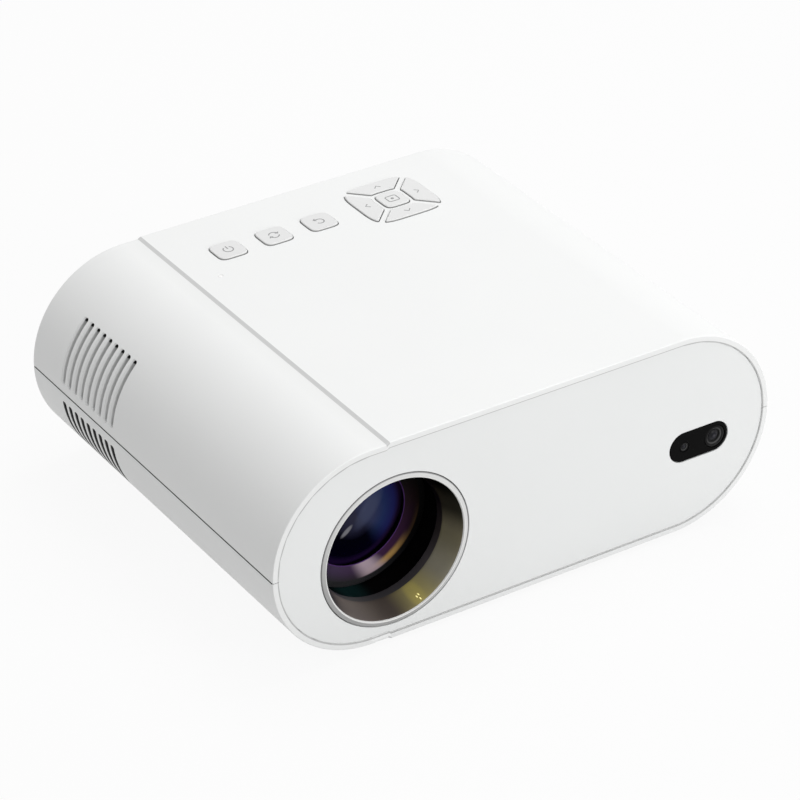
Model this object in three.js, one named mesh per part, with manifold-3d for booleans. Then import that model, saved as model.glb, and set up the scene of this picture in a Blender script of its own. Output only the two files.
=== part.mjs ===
// Compact video projector in a capsule-shaped case, in millimetres.
// X runs to the right seen from the front, Y runs back from the lens and Z is up.
// The origin is under the middle of the case, level with the surface it stands on.

import * as THREE from "three";
import * as BufferGeometryUtils from "three/addons/utils/BufferGeometryUtils.js";
import Module from "manifold-3d";

const wasm = await Module();
wasm.setup();

// Clearances, and how far a cut runs past what it cuts
const fit = 0.3;
const overrun = 1;

// Case: a tube whose section has a flat top and bottom and round ends
const caseDepth = 180;
const rightRadius = 42.3;
const stepRise = 0.7;
const endSpacing = 136.1;
const wall = 2.4;
const rimRound = 0.4;
const stepPlace = 6.6;
const stepWidth = 1.3;
const seam = 0.3;
const tongueThickness = 1.2;
const tongueRise = 3;
const tongueDrop = 3.4;

// Front and rear panels, set inside the rim against a ledge
const panelRecess = 0.4;
const panelThickness = 2.4;
const ledgeThickness = 1.6;
const ledgeHeight = 2.6;

// Vent slots in both round ends, above and below the seam
const ventCount = 9;
const ventPitch = 4.72;
const ventWidth = 2;
const ventInset = 43.1;
const ventUpperStart = 5.3;
const ventLowerStart = 5.8;
const ventEnd = 45;

// Case screws
const bossInset = 12;
const bossEndInset = 13;
const bossRadius = 4.2;
const screwHeadRadius = 2.4;
const screwHeadHeight = 1.8;
const screwRadius = 1.2;
const screwGrip = 8;
const screwReach = 10;

// Feet and tripod insert
const footStand = 2;
const footRadius = 7;
const footSink = 0.9;
const footRound = 0.6;
const footSpreadX = 50;
const footEndInset = 28;
const insertRadius = 6;
const insertHoleRadius = 3.1;
const insertHeight = 8;
const insertWall = 2.5;

// Keys on the top, seen from above
const keyWidth = 12.4;
const keyDepth = 12;
const keyPitch = 20.6;
const keyFirstX = -37.6;
const keyRowInset = 28.6;
const keyProud = 0.6;
const keyRound = 0.3;
const keyFlange = 0.7;
const keyFlangeThickness = 1.2;
const keyStemRadius = 1.6;
const keyStemLength = 1.5;
const keyTravel = 0.4;
const padX = 37.6;
const padWidth = 32;
const padDepth = 30.8;
const padHoleWidth = 14.8;
const padHoleDepth = 15.2;
const padRib = 2.8;
const okWidth = 11;
const okDepth = 11.4;

// Status light
const lightX = -50.2;
const lightReach = 15.5;
const lightRadius = 1;
const lightFlange = 1;

// Key board with its switches
const boardThickness = 1.6;
const keyBoardSide = 5.5;
const keyBoardFrontReach = 19.4;
const keyBoardBackReach = 17.6;
const switchSize = 6;
const switchHeight = 3.4;
const plungerRadius = 1.7;
const plungerHeight = 0.8;
const postRadius = 2.4;
const pinRadius = 1;
const pinLength = 2.4;
const keyPostSpread = 13.2;

// Lens opening: bright ring, hood and the sensor window beside it
const lensX = -58.1;
const lensDrop = 4.6;
const ringRadius = 31.5;
const ringWidth = 2;
const ringLip = 0.6;
const ringDepth = 2;
const hoodFlange = 2.1;
const hoodFlangeThickness = 2;
const hoodTaper = 3.2;
const hoodDepth = 10;
const hoodLip = 3.7;
const hoodWall = 1.6;
const windowX = 77.9;
const windowDrop = 5.5;
const windowRadius = 6.2;
const windowReach = 7.2;
const windowFlange = 1.4;
const windowThickness = 1.2;
const cameraX = 85.4;
const cameraRadius = 4.5;
const rangeX = 71.2;
const rangeRadius = 1.9;
const sensorSink = 0.2;
const sensorLength = 8;
const sensorBoardWidth = 30;
const sensorBoardHeight = 24;
const sensorPostReach = 12.4;
const sensorPostRise = 9.5;

// Lens holder and the barrel that slides in it
const holderDepth = 12;
const holderBore = 28.9;
const holderWall = 2.1;
const holderFlangeSize = 62;
const holderFlangeThickness = 2.5;
const barrelDepth = 24.9;
const barrelDish = 1.4;
const barrelLip = 1;
const barrelLength = 45;
const barrelBore = 21.9;
const barrelNose = 20.3;
const barrelStop = 18;
const barrelStopPlace = 26;
const barrelStopWidth = 3;
const rearBore = 19.9;
const focusTravel = 3;
const frontGlassThickness = 9;
const frontGlassCurve = 80;
const rearGlassThickness = 6;
const rearGlassCurve = 60;

// Rack on the barrel, pinion and motor
const toothModule = 0.8;
const pinionTeeth = 10;
const pinionWidth = 5;
const pinionShaftRadius = 1;
const pinionShaftLength = 8;
const toothTipShare = 0.9;
const toothRootShare = 1.25;
const rackTipShare = 0.12;
const rackRootShare = 0.32;
const pinionTipShare = 0.11;
const pinionRootShare = 0.3;
const backlash = 0.25;
const rackPlace = 22;
const rackTeeth = 6;
const rackBack = 2.2;
const bracketThickness = 2;
const bracketReach = 16;
const motorRadius = 6;
const motorLength = 15;

// Light engine: a box on the lens axis with a corner cut off behind its mirror
const enginePlace = 112;
const engineBay = 58;
const engineRightX = 36;
const engineWall = 2;
const engineHeight = 45;
const mirrorThickness = 2;
const mirrorMargin = 1.5;
const plateThickness = 2;
const lcdThickness = 3;
const lcdPlace = 36;
const fresnelStep = 6;
const grooveRib = 1.5;
const grooveHeight = 2.5;
const condenserPlace = 72;
const condenserRadius = 18;
const condenserEdge = 2.5;
const condenserCurve = 25;
const condenserCollar = 3;
const ledSize = 32;
const ledThickness = 2;
const ledDome = 9;
const enginePinLength = 4;
const standoff = 2.4;

// Heat sink and fan, in line with the light engine
const sinkSize = 60;
const sinkHeight = 52;
const sinkBase = 4;
const finCount = 13;
const finThickness = 1.2;
const finLength = 14;
const fanSize = 60;
const fanDepth = 15;
const fanBoreRadius = 28.5;
const fanHubRadius = 13.5;
const fanTipGap = 0.8;
const fanStrut = 3;
const fanStrutWidth = 3;
const fanStrutCount = 4;
const fanShaftRadius = 1.5;
const fanHoleRadius = 2;
const fanHoleSpacing = 50;
const bladeCount = 7;
const bladeThickness = 1.1;
const bladeRootChord = 11;
const bladeTipChord = 15;
const bladeRootPitch = 52;
const bladeTipPitch = 34;
const railThickness = 2;
const railHeight = 4;

// Main board and the sockets on its rear edge
const mainBoardLeft = -82;
const mainBoardRight = 34;
const mainBoardReach = 20;
const mainBoardGap = 3.4;
const usbWidth = 14.4;
const usbHeight = 7;
const usbDepth = 15;
const usbSkin = 0.9;
const usbTongue = 1.9;
const hdmiWidth = 15.6;
const hdmiHeight = 6;
const hdmiDepth = 12;
const hdmiSkin = 0.7;
const hdmiTongue = 1.2;
const socketCavity = 9;
const jackWidth = 9;
const jackHeight = 6;
const jackDepth = 14;
const jackHoleRadius = 1.8;
const hdmiX = -6;
const usbFirstX = -28;
const usbSecondX = -48;
const jackX = 14;

// Mains inlet and power board
const inletX = 72;
const inletZ = 27;
const inletWidth = 20;
const inletHeight = 12;
const inletDepth = 20;
const inletFlange = 2;
const inletCavityWidth = 14;
const inletCavityHeight = 7.6;
const inletCavityDepth = 11;
const inletPinRadius = 1.2;
const inletPinSpacing = 8.6;
const powerLeft = 0;
const powerRight = 84;
const powerInset = 16;
const powerDepth = 54;
const powerRise = 6;
const transformerWidth = 24;
const transformerDepth = 20;
const transformerHeight = 18;
const capacitorRadius = 8;
const capacitorHeight = 26;

// Speaker behind the rear panel
const speakerX = -46;
const speakerZ = 30;
const speakerRadius = 20;
const speakerRim = 2.2;
const speakerDepth = 19;
const magnetRadius = 13;
const coneRadius = 16.5;
const coneDepth = 5;
const coneThickness = 0.8;
const grilleSlots = 7;
const grillePitch = 4.4;
const grilleWidth = 2;

// Smoothness of round forms
const caseSteps = 7;
const ventSteps = 2;
const roundSides = 24;
const smallSides = 8;
const tinySides = 6;
const glassSteps = 3;
const curveSteps = 4;
const keyPower = 4.6;
const bevelSteps = 1;
const bladeSteps = 3;
const searchSteps = 40;

// Places worked out from the sizes above
const leftRadius = rightRadius - stepRise;
const caseWidth = leftRadius + endSpacing + rightRadius;
const leftX = leftRadius - caseWidth / 2;
const rightX = caseWidth / 2 - rightRadius;
const frontY = -caseDepth / 2;
const rearY = caseDepth / 2;
const midZ = footStand + rightRadius;
const topZ = midZ + rightRadius;
const bottomZ = midZ - rightRadius;
const floorZ = bottomZ + wall;
const ceilingZ = topZ - wall;
const panelBack = panelRecess + panelThickness;
const ledgeStart = panelBack + fit;
const ledgeEnd = ledgeStart + ledgeThickness;
const rearInsideY = rearY - panelBack;
const ventY = rearY - ventInset;
const bossY = rearY - bossEndInset;
const footY = rearY - footEndInset;
const keyRowY = rearY - keyRowInset;
const lightY = keyRowY - lightReach;
const keyBoardFront = keyRowY - keyBoardFrontReach;
const keyBoardBack = keyRowY + keyBoardBackReach;
const ringInner = ringRadius - ringWidth;
const hoodMouth = ringInner - hoodTaper;
const lensZ = midZ - lensDrop;
const windowZ = midZ - windowDrop;
const keyTopZ = topZ + keyProud;
const flangeTopZ = ceilingZ - fit;
const flangeBottomZ = flangeTopZ - keyFlangeThickness;
const stemBottomZ = flangeBottomZ - keyStemLength;
const keyBoardTopZ = stemBottomZ - keyTravel - fit - plungerHeight - switchHeight;
const keyBoardBottomZ = keyBoardTopZ - boardThickness;
const engineBottomZ = lensZ - engineHeight / 2;
const engineTopZ = lensZ + engineHeight / 2;
const engineHalf = engineBay / 2;
const engineY = frontY + enginePlace;
const engineFrontY = engineY - engineHalf - engineWall;
const mainBoardZ = engineTopZ + standoff + fit;
const mainBoardTopZ = mainBoardZ + boardThickness;
const mainBoardBack = rearInsideY - mainBoardGap;
const mainBoardFront = engineY - mainBoardReach;
const powerBoardZ = floorZ + powerRise + fit;
const powerFront = frontY + powerInset;
const powerBack = powerFront + powerDepth;
const barrelFrontY = frontY + barrelDepth;
const barrelRadius = holderBore - fit;
const pinionRadius = (toothModule * pinionTeeth) / 2;
const rackPitch = Math.PI * toothModule;
const rackLineX = lensX + holderBore + holderWall + rackBack;
const pinionX = rackLineX + pinionRadius + backlash;
const pinionY = barrelFrontY + rackPlace;
const sinkX = engineRightX + engineWall + fit + ledThickness + fit;
const fanX = sinkX + sinkBase + finLength + fit;
const fanEndX = fanX + fanDepth;
const fanCentre = [0, engineY, lensZ];

// Plain solids
const degree = Math.PI / 180;
const alongX = new THREE.Vector3(1, 0, 0);
const alongY = new THREE.Vector3(0, 1, 0);
const alongZ = new THREE.Vector3(0, 0, 1);
const axisFrames = {
  x: new THREE.Matrix4().makeBasis(alongY, alongZ, alongX),
  y: new THREE.Matrix4().makeBasis(alongX, alongZ, alongY.clone().negate()),
  z: new THREE.Matrix4(),
};

function solidOf(geometry) {
  const bare = geometry.clone();
  bare.deleteAttribute("normal");
  bare.deleteAttribute("uv");
  const merged = BufferGeometryUtils.mergeVertices(bare);
  const corners = merged.index.array;
  const kept = [];
  for (let i = 0; i < corners.length; i += 3) {
    const [a, b, c] = [corners[i], corners[i + 1], corners[i + 2]];
    if (a !== b && b !== c && c !== a) kept.push(a, b, c);
  }
  const vertProperties = new Float32Array(merged.attributes.position.array);
  return new wasm.Manifold(new wasm.Mesh({ numProp: 3, vertProperties, triVerts: new Uint32Array(kept) }));
}

function geometryOf(solid) {
  const mesh = solid.getMesh();
  const geometry = new THREE.BufferGeometry();
  geometry.setAttribute("position", new THREE.BufferAttribute(mesh.vertProperties, 3));
  geometry.setIndex(new THREE.BufferAttribute(mesh.triVerts, 1));
  geometry.computeVertexNormals();
  return geometry;
}

// A shape drawn in the plane square to the axis, pushed from one place along it to another.
function extrude(shape, axis, from, to, bevel = 0, curveSegments = caseSteps) {
  const geometry = new THREE.ExtrudeGeometry(shape, {
    depth: to - from - 2 * bevel,
    curveSegments,
    bevelEnabled: bevel > 0,
    bevelThickness: bevel,
    bevelSize: bevel,
    bevelOffset: -bevel,
    bevelSegments: bevelSteps,
  });
  const start = axis === "y" ? -to : from;
  geometry.translate(0, 0, start + bevel);
  geometry.applyMatrix4(axisFrames[axis]);
  return solidOf(geometry);
}

function box(fromX, toX, fromY, toY, fromZ, toZ) {
  const geometry = new THREE.BoxGeometry(toX - fromX, toY - fromY, toZ - fromZ);
  geometry.translate((fromX + toX) / 2, (fromY + toY) / 2, (fromZ + toZ) / 2);
  return solidOf(geometry);
}

function rodX(radius, from, to, y, z, sides = smallSides) {
  const geometry = new THREE.CylinderGeometry(radius, radius, to - from, sides);
  geometry.rotateZ(-Math.PI / 2).translate((from + to) / 2, y, z);
  return solidOf(geometry);
}

function rodY(radius, from, to, x, z, sides = smallSides) {
  const geometry = new THREE.CylinderGeometry(radius, radius, to - from, sides);
  geometry.translate(x, (from + to) / 2, z);
  return solidOf(geometry);
}

function rodZ(radius, from, to, x, y, sides = smallSides) {
  const geometry = new THREE.CylinderGeometry(radius, radius, to - from, sides);
  geometry.rotateX(Math.PI / 2).translate(x, y, (from + to) / 2);
  return solidOf(geometry);
}

// Small upright pins or holes of one size, one at each place.
function pinsZ(radius, from, to, places) {
  return places.map(([x, y]) => rodZ(radius, from, to, x, y, tinySides));
}

// The four places left and right, front and back of the middle.
function fourPlaces(acrossX, acrossY) {
  return [-1, 1].flatMap((side) => [-1, 1].map((end) => [side * acrossX, end * acrossY]));
}

// A closed outline of radius and place along the axis, turned round that axis.
function turned(outline, axis, centre, sides = roundSides) {
  const area = outline.reduce((sum, [r, s], i) => {
    const [nextR, nextS] = outline[(i + 1) % outline.length];
    return sum + r * nextS - nextR * s;
  }, 0);
  const ordered = area > 0 ? outline : [...outline].reverse();
  const points = [...ordered, ordered[0]].map(([r, s]) => new THREE.Vector2(r, s));
  const geometry = new THREE.LatheGeometry(points, sides);
  if (axis === "x") geometry.rotateZ(-Math.PI / 2);
  if (axis === "z") geometry.rotateX(Math.PI / 2);
  geometry.translate(...centre);
  return solidOf(geometry);
}

function joined(...solids) {
  return solids.reduce((whole, solid) => whole.add(solid));
}

function cut(solid, ...cutters) {
  return cutters.reduce((left, cutter) => left.subtract(cutter), solid);
}

function rectangle(fromX, toX, fromY, toY) {
  return new THREE.Shape([
    new THREE.Vector2(fromX, fromY),
    new THREE.Vector2(toX, fromY),
    new THREE.Vector2(toX, toY),
    new THREE.Vector2(fromX, toY),
  ]);
}

// A soft-cornered square: the curve |x/a|^n + |y/b|^n = 1.
function softPoint(width, depth, angle) {
  const bend = (value) => Math.sign(value) * Math.abs(value) ** (2 / keyPower);
  return new THREE.Vector2((width / 2) * bend(Math.cos(angle)), (depth / 2) * bend(Math.sin(angle)));
}

function softSquare(width, depth, x, y) {
  const count = 4 * curveSteps;
  const centre = new THREE.Vector2(x, y);
  const turns = Array.from({ length: count }, (_, i) => (2 * Math.PI * i) / count);
  return new THREE.Shape(turns.map((angle) => softPoint(width, depth, angle).add(centre)));
}

// Case section with its faces moved in by an inset
function caseShape(inset) {
  const left = leftRadius - inset;
  const right = rightRadius - inset;
  const stepLowX = leftX + stepPlace;
  const stepHighX = stepLowX + stepWidth;
  const shape = new THREE.Shape();
  shape.moveTo(stepLowX, midZ - left);
  shape.lineTo(stepHighX, midZ - right);
  shape.lineTo(rightX, midZ - right);
  shape.absarc(rightX, midZ, right, -Math.PI / 2, Math.PI / 2, false);
  shape.lineTo(stepHighX, midZ + right);
  shape.lineTo(stepLowX, midZ + left);
  shape.lineTo(leftX, midZ + left);
  shape.absarc(leftX, midZ, left, Math.PI / 2, (3 * Math.PI) / 2, false);
  return shape;
}

function caseRing(outerInset, innerInset, fromY, toY) {
  const outside = extrude(caseShape(outerInset), "y", fromY, toY);
  return cut(outside, extrude(caseShape(innerInset), "y", fromY - overrun, toY + overrun));
}

function slab(fromZ, toZ) {
  return box(-caseWidth, caseWidth, -caseDepth, caseDepth, fromZ, toZ);
}

// Rows of vent slots, cut sideways; their ends are angles round the middle of each round end
function ventSlot(centreX, radius, side, start, end, y) {
  const round = ventWidth / 2;
  const lowZ = midZ + radius * Math.sin(start * degree) + round;
  const highZ = midZ + radius * Math.sin(end * degree) - round;
  const outline = new THREE.Shape();
  outline.absarc(y, highZ, round, 0, Math.PI, false);
  outline.absarc(y, lowZ, round, Math.PI, 2 * Math.PI, false);
  const near = centreX + (side * radius) / 2;
  const far = centreX + side * (radius + overrun);
  return extrude(outline, "x", Math.min(near, far), Math.max(near, far), 0, ventSteps);
}

function ventRows(start, end) {
  const rows = [];
  for (let i = 0; i < ventCount; i += 1) {
    const y = ventY + (i - (ventCount - 1) / 2) * ventPitch;
    rows.push(ventSlot(leftX, leftRadius, -1, start, end, y));
    rows.push(ventSlot(rightX, rightRadius, 1, start, end, y));
  }
  return rows;
}

// Places of repeated fasteners
const bossPlaces = fourPlaces(caseWidth / 2 - bossInset, bossY);
const footPlaces = fourPlaces(footSpreadX, footY);
const keyXs = [0, 1, 2].map((i) => keyFirstX + i * keyPitch);
const keyBoardLeft = lightX - keyBoardSide;
const keyBoardRight = padX + padWidth / 2 + keyFlange + 2 * postRadius + keyBoardSide / 2;
const keyPosts = [
  [keyXs[0] + keyPitch / 2, keyRowY - keyPostSpread],
  [keyXs[0] + keyPitch / 2, keyRowY + keyPostSpread],
  [keyXs[2] + keyPitch / 2 - keyFlange, keyRowY - keyPostSpread],
  [keyXs[2] + keyPitch / 2 - keyFlange, keyRowY + keyPostSpread],
  [padX + padWidth / 2 + keyFlange + fit + postRadius, keyRowY],
];
const enginePosts = [
  [lensX - engineHalf / 2, engineY - engineHalf / 2],
  [engineRightX - engineHalf / 2, engineY - engineHalf / 2],
  [engineRightX - engineHalf / 2, engineY + engineHalf / 2],
  [lensX + engineHalf, engineY + engineHalf / 2],
];
const powerPosts = [
  [powerLeft + 2 * postRadius, powerFront + 2 * postRadius],
  [powerRight - 2 * postRadius, powerFront + 2 * postRadius],
  [powerLeft + 2 * postRadius, powerBack - 2 * postRadius],
  [powerRight - 2 * postRadius, powerBack - 2 * postRadius],
];
const mainPosts = [
  [lensX - engineHalf / 4, engineY - engineHalf / 2],
  [engineRightX - engineHalf / 2, engineY - engineHalf / 2],
  [engineRightX - engineHalf / 2, engineY + engineHalf / 2],
  [lensX + engineHalf, engineY + engineHalf / 2],
];
const sensorPosts = fourPlaces(sensorPostReach, sensorPostRise).map(([x, z]) => [windowX + x, windowZ + z]);

// Outline of one direction key: a quarter of the pad between two diagonal ribs
function ribAngle(across, out, offset) {
  let [low, high] = [0, Math.PI / 2];
  for (let i = 0; i < searchSteps; i += 1) {
    const middle = (low + high) / 2;
    const point = softPoint(across, out, middle);
    if (point.y - point.x > offset) high = middle;
    else low = middle;
  }
  return high;
}

function padShape(grow, turn) {
  const sideways = turn % 2 === 1;
  const [across, out] = sideways ? [padDepth, padWidth] : [padWidth, padDepth];
  const [holeAcross, holeOut] = sideways ? [padHoleDepth, padHoleWidth] : [padHoleWidth, padHoleDepth];
  const offset = (padRib - 2 * grow) / Math.SQRT2;
  const arc = (width, depth) => {
    const start = ribAngle(width, depth, offset);
    const sweep = Math.PI - 2 * start;
    const count = 2 * curveSteps;
    return Array.from({ length: count + 1 }, (_, i) => softPoint(width, depth, start + (sweep * i) / count));
  };
  const outer = arc(across + 2 * grow, out + 2 * grow);
  const inner = arc(holeAcross - 2 * grow, holeOut - 2 * grow).reverse();
  const origin = new THREE.Vector2();
  const points = [...outer, ...inner].map((point) => point.rotateAround(origin, (-turn * Math.PI) / 2));
  return new THREE.Shape(points.map((point) => point.add(new THREE.Vector2(padX, keyRowY))));
}

// Upper and lower shells
function shellBosses(fromZ, toZ, radius) {
  const posts = bossPlaces.map(([x, y]) => rodZ(radius, fromZ, toZ, x, y));
  return joined(...posts).intersect(extrude(caseShape(wall / 2), "y", frontY, rearY));
}

function shellHalf(fromZ, toZ) {
  const tube = extrude(caseShape(0), "y", frontY, rearY, rimRound);
  const hollow = extrude(caseShape(wall), "y", frontY - overrun, rearY + overrun);
  const frontLedge = caseRing(wall / 2, wall + ledgeHeight, frontY + ledgeStart, frontY + ledgeEnd);
  const rearLedge = caseRing(wall / 2, wall + ledgeHeight, rearY - ledgeEnd, rearY - ledgeStart);
  const roomRadius = ringRadius + hoodFlange + fit;
  const roomEndY = frontY + ledgeEnd + overrun;
  const hoodRoom = rodY(roomRadius, frontY + panelBack, roomEndY, lensX, lensZ, roundSides);
  return joined(cut(tube, hollow), cut(frontLedge, hoodRoom), rearLedge).intersect(slab(fromZ, toZ));
}

function keyOpenings() {
  const from = ceilingZ - overrun;
  const to = topZ + overrun;
  const shapes = [
    ...keyXs.map((x) => softSquare(keyWidth + 2 * fit, keyDepth + 2 * fit, x, keyRowY)),
    ...[0, 1, 2, 3].map((turn) => padShape(fit, turn)),
    softSquare(okWidth + 2 * fit, okDepth + 2 * fit, padX, keyRowY),
  ];
  const light = rodZ(lightRadius + fit, from, to, lightX, lightY);
  return [...shapes.map((shape) => extrude(shape, "z", from, to)), light];
}

function upperShell() {
  const seamZ = midZ + seam / 2;
  const bosses = shellBosses(seamZ, topZ, bossRadius - fit);
  const pilots = pinsZ(screwRadius + fit, seamZ - overrun, midZ + screwReach + overrun, bossPlaces);
  const posts = pinsZ(postRadius, keyBoardTopZ + fit, ceilingZ + wall / 2, keyPosts);
  const pins = pinsZ(pinRadius, keyBoardTopZ + fit - pinLength, ceilingZ, keyPosts);
  const whole = joined(shellHalf(seamZ, topZ + overrun), bosses, ...posts, ...pins);
  return cut(whole, ...pilots, ...keyOpenings(), ...ventRows(ventUpperStart, ventEnd));
}

function seamTongue() {
  const fromY = frontY + ledgeEnd + fit;
  const toY = rearY - ledgeEnd - fit;
  const inner = wall + fit + tongueThickness;
  const blade = caseRing(wall + fit, inner, fromY, toY).intersect(slab(midZ - tongueDrop, midZ + tongueRise));
  const root = caseRing(wall / 2, inner, fromY, toY).intersect(slab(midZ - tongueDrop, midZ - seam / 2));
  return joined(blade, root);
}

function fanRails() {
  const fromX = fanX - railThickness - fit;
  const toX = fanEndX + railThickness + fit;
  const fanBottomZ = lensZ - fanSize / 2;
  return [-1, 1].map((side) => {
    const y = engineY + (side * fanHoleSpacing) / 2;
    const railTopZ = fanBottomZ + railHeight;
    const cradle = box(fromX, toX, y - railThickness, y + railThickness, floorZ - wall / 2, railTopZ);
    return cut(cradle, box(fanX - fit, fanEndX + fit, y - fanSize, y + fanSize, fanBottomZ - fit, topZ));
  });
}

function boardPosts(places, fromZ, toZ) {
  return [...pinsZ(postRadius, fromZ, toZ, places), ...pinsZ(pinRadius, fromZ, toZ + pinLength, places)];
}

function lowerShell() {
  const seamZ = midZ - seam / 2;
  const bosses = shellBosses(bottomZ, seamZ, bossRadius);
  const rootZ = floorZ - wall / 2;
  const heads = pinsZ(screwHeadRadius + fit, bottomZ - overrun, midZ - screwGrip, bossPlaces);
  const shanks = pinsZ(screwRadius + fit, bottomZ, midZ + overrun, bossPlaces);
  const posts = pinsZ(2 * pinRadius + postRadius, rootZ, engineBottomZ - fit, enginePosts);
  const socketZ = engineBottomZ - enginePinLength - 2 * fit;
  const sockets = pinsZ(postRadius / 2 + fit, socketZ, engineBottomZ, enginePosts);
  const recessZ = bottomZ + footSink + fit;
  const recesses = footPlaces.map(([x, y]) =>
    rodZ(footRadius + fit, bottomZ - overrun, recessZ, x, y, roundSides / 2),
  );
  const boreRadius = insertRadius + fit;
  const boreZ = bottomZ + insertHeight + fit;
  const insertBoss = rodZ(boreRadius + insertWall, rootZ, boreZ + insertWall, 0, 0, roundSides / 2);
  const insertBore = rodZ(boreRadius, bottomZ - overrun, boreZ, 0, 0, roundSides / 2);
  const power = boardPosts(powerPosts, rootZ, powerBoardZ - fit);
  const inside = extrude(caseShape(wall / 2), "y", frontY, rearY);
  const stands = joined(...posts, ...power, ...fanRails(), insertBoss).intersect(inside);
  const whole = joined(shellHalf(bottomZ - overrun, seamZ), bosses, seamTongue(), stands);
  const vents = ventRows(-ventEnd, -ventLowerStart);
  return cut(whole, ...heads, ...shanks, ...sockets, ...recesses, insertBore, ...vents);
}

function caseScrew() {
  const seatZ = midZ - screwGrip - fit;
  const head = rodZ(screwHeadRadius, seatZ - screwHeadHeight, seatZ, 0, 0, tinySides);
  return joined(head, rodZ(screwRadius, seatZ - screwHeadHeight / 2, midZ + screwReach, 0, 0, tinySides));
}

function foot() {
  const topOfFoot = footStand + footSink;
  const outline = [
    [0, 0],
    [footRadius - footRound, 0],
    [footRadius, footRound],
    [footRadius, topOfFoot],
    [0, topOfFoot],
  ];
  return turned(outline, "z", [0, 0, 0], roundSides / 2);
}

function tripodInsert() {
  const endZ = bottomZ + insertHeight;
  const outside = rodZ(insertRadius, bottomZ + fit, endZ, 0, 0, roundSides / 2);
  return cut(outside, rodZ(insertHoleRadius, bottomZ - overrun, endZ - overrun, 0, 0, roundSides / 2));
}

// Front: panel, ring, hood and sensor window
function windowShape(grow) {
  const radius = windowRadius + grow;
  const shape = new THREE.Shape();
  shape.absarc(windowX + windowReach, windowZ, radius, -Math.PI / 2, Math.PI / 2, false);
  shape.absarc(windowX - windowReach, windowZ, radius, Math.PI / 2, (3 * Math.PI) / 2, false);
  return shape;
}

function frontPanel() {
  const from = frontY + panelRecess;
  const to = frontY + panelBack;
  const plate = extrude(caseShape(wall + fit), "y", from, to);
  const lensHole = rodY(ringRadius + fit, from - overrun, to + overrun, lensX, lensZ, roundSides);
  const windowHole = extrude(windowShape(fit), "y", from - overrun, to + overrun, 0, curveSteps);
  const boardY = sensorBoardY() - fit;
  const posts = sensorPosts.flatMap(([x, z]) => [
    rodY(postRadius, to - panelThickness / 2, boardY, x, z, tinySides),
    rodY(pinRadius, to, boardY + pinLength, x, z, tinySides),
  ]);
  return joined(cut(plate, lensHole, windowHole), ...posts);
}

function hoodRadius(depth) {
  return ringInner - (depth * hoodTaper) / hoodDepth;
}

function lensRing() {
  const outline = [
    [ringRadius, frontY + panelRecess],
    [ringRadius, frontY + ringDepth],
    [hoodRadius(ringDepth), frontY + ringDepth],
    [ringInner, frontY],
    [ringInner + ringLip, frontY],
  ];
  return turned(outline, "y", [lensX, 0, lensZ]);
}

function lensHood() {
  const start = ringDepth + fit;
  const flangeBack = ledgeStart + hoodFlangeThickness;
  const outline = [
    [hoodRadius(start), frontY + start],
    [ringRadius - fit, frontY + start],
    [ringRadius - fit, frontY + ledgeStart],
    [ringRadius + hoodFlange, frontY + ledgeStart],
    [ringRadius + hoodFlange, frontY + flangeBack],
    [hoodRadius(flangeBack) + hoodWall, frontY + flangeBack],
    [hoodMouth + hoodWall, frontY + hoodDepth],
    [hoodMouth + hoodWall, frontY + hoodDepth + hoodLip],
    [hoodMouth, frontY + hoodDepth + hoodLip],
    [hoodMouth, frontY + hoodDepth],
  ];
  return turned(outline, "y", [lensX, 0, lensZ]);
}

function sensorBoardY() {
  return frontY + panelRecess + sensorSink + sensorLength + fit;
}

function sensorWindow() {
  const from = frontY + panelRecess;
  const flangeY = frontY + panelBack + fit;
  const back = flangeY + windowThickness;
  const sides = roundSides / 2;
  const pane = extrude(windowShape(0), "y", from, back, 0, curveSteps);
  const flange = extrude(windowShape(windowFlange), "y", flangeY, back, 0, curveSteps);
  const cameraHole = rodY(cameraRadius + fit, from - overrun, back + overrun, cameraX, windowZ, sides);
  const rangeHole = rodY(rangeRadius + fit, from - overrun, back + overrun, rangeX, windowZ);
  return cut(joined(pane, flange), cameraHole, rangeHole);
}

function sensorTube(x, radius) {
  const from = frontY + panelRecess + sensorSink;
  return rodY(radius, from, from + sensorLength, x, windowZ, roundSides / 2);
}

function sensorBoard() {
  const y = sensorBoardY();
  const back = y + boardThickness;
  const half = sensorBoardWidth / 2;
  const rise = sensorBoardHeight / 2;
  const plate = box(windowX - half, windowX + half, y, back, windowZ - rise, windowZ + rise);
  const holeRadius = pinRadius + fit;
  const holes = sensorPosts.map(([x, z]) => rodY(holeRadius, y - overrun, back + overrun, x, z, tinySides));
  return cut(plate, ...holes);
}

// Keys and what carries them
function pressedKey(shapeOf, stemX, stemY) {
  const cap = extrude(shapeOf(0), "z", flangeBottomZ, keyTopZ, keyRound);
  const flange = extrude(shapeOf(keyFlange), "z", flangeBottomZ, flangeTopZ);
  return joined(cap, flange, rodZ(keyStemRadius, stemBottomZ, flangeTopZ, stemX, stemY, tinySides));
}

function squareKey(x, width, depth) {
  return pressedKey((grow) => softSquare(width + 2 * grow, depth + 2 * grow, x, keyRowY), x, keyRowY);
}

function padReach(turn) {
  const sideways = turn % 2 === 1;
  return sideways ? (padWidth + padHoleWidth) / 4 : (padDepth + padHoleDepth) / 4;
}

function padStem(turn) {
  const angle = ((1 - turn) * Math.PI) / 2;
  return [padX + padReach(turn) * Math.cos(angle), keyRowY + padReach(turn) * Math.sin(angle)];
}

function padKey(turn) {
  return pressedKey((grow) => padShape(grow, turn), ...padStem(turn));
}

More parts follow.
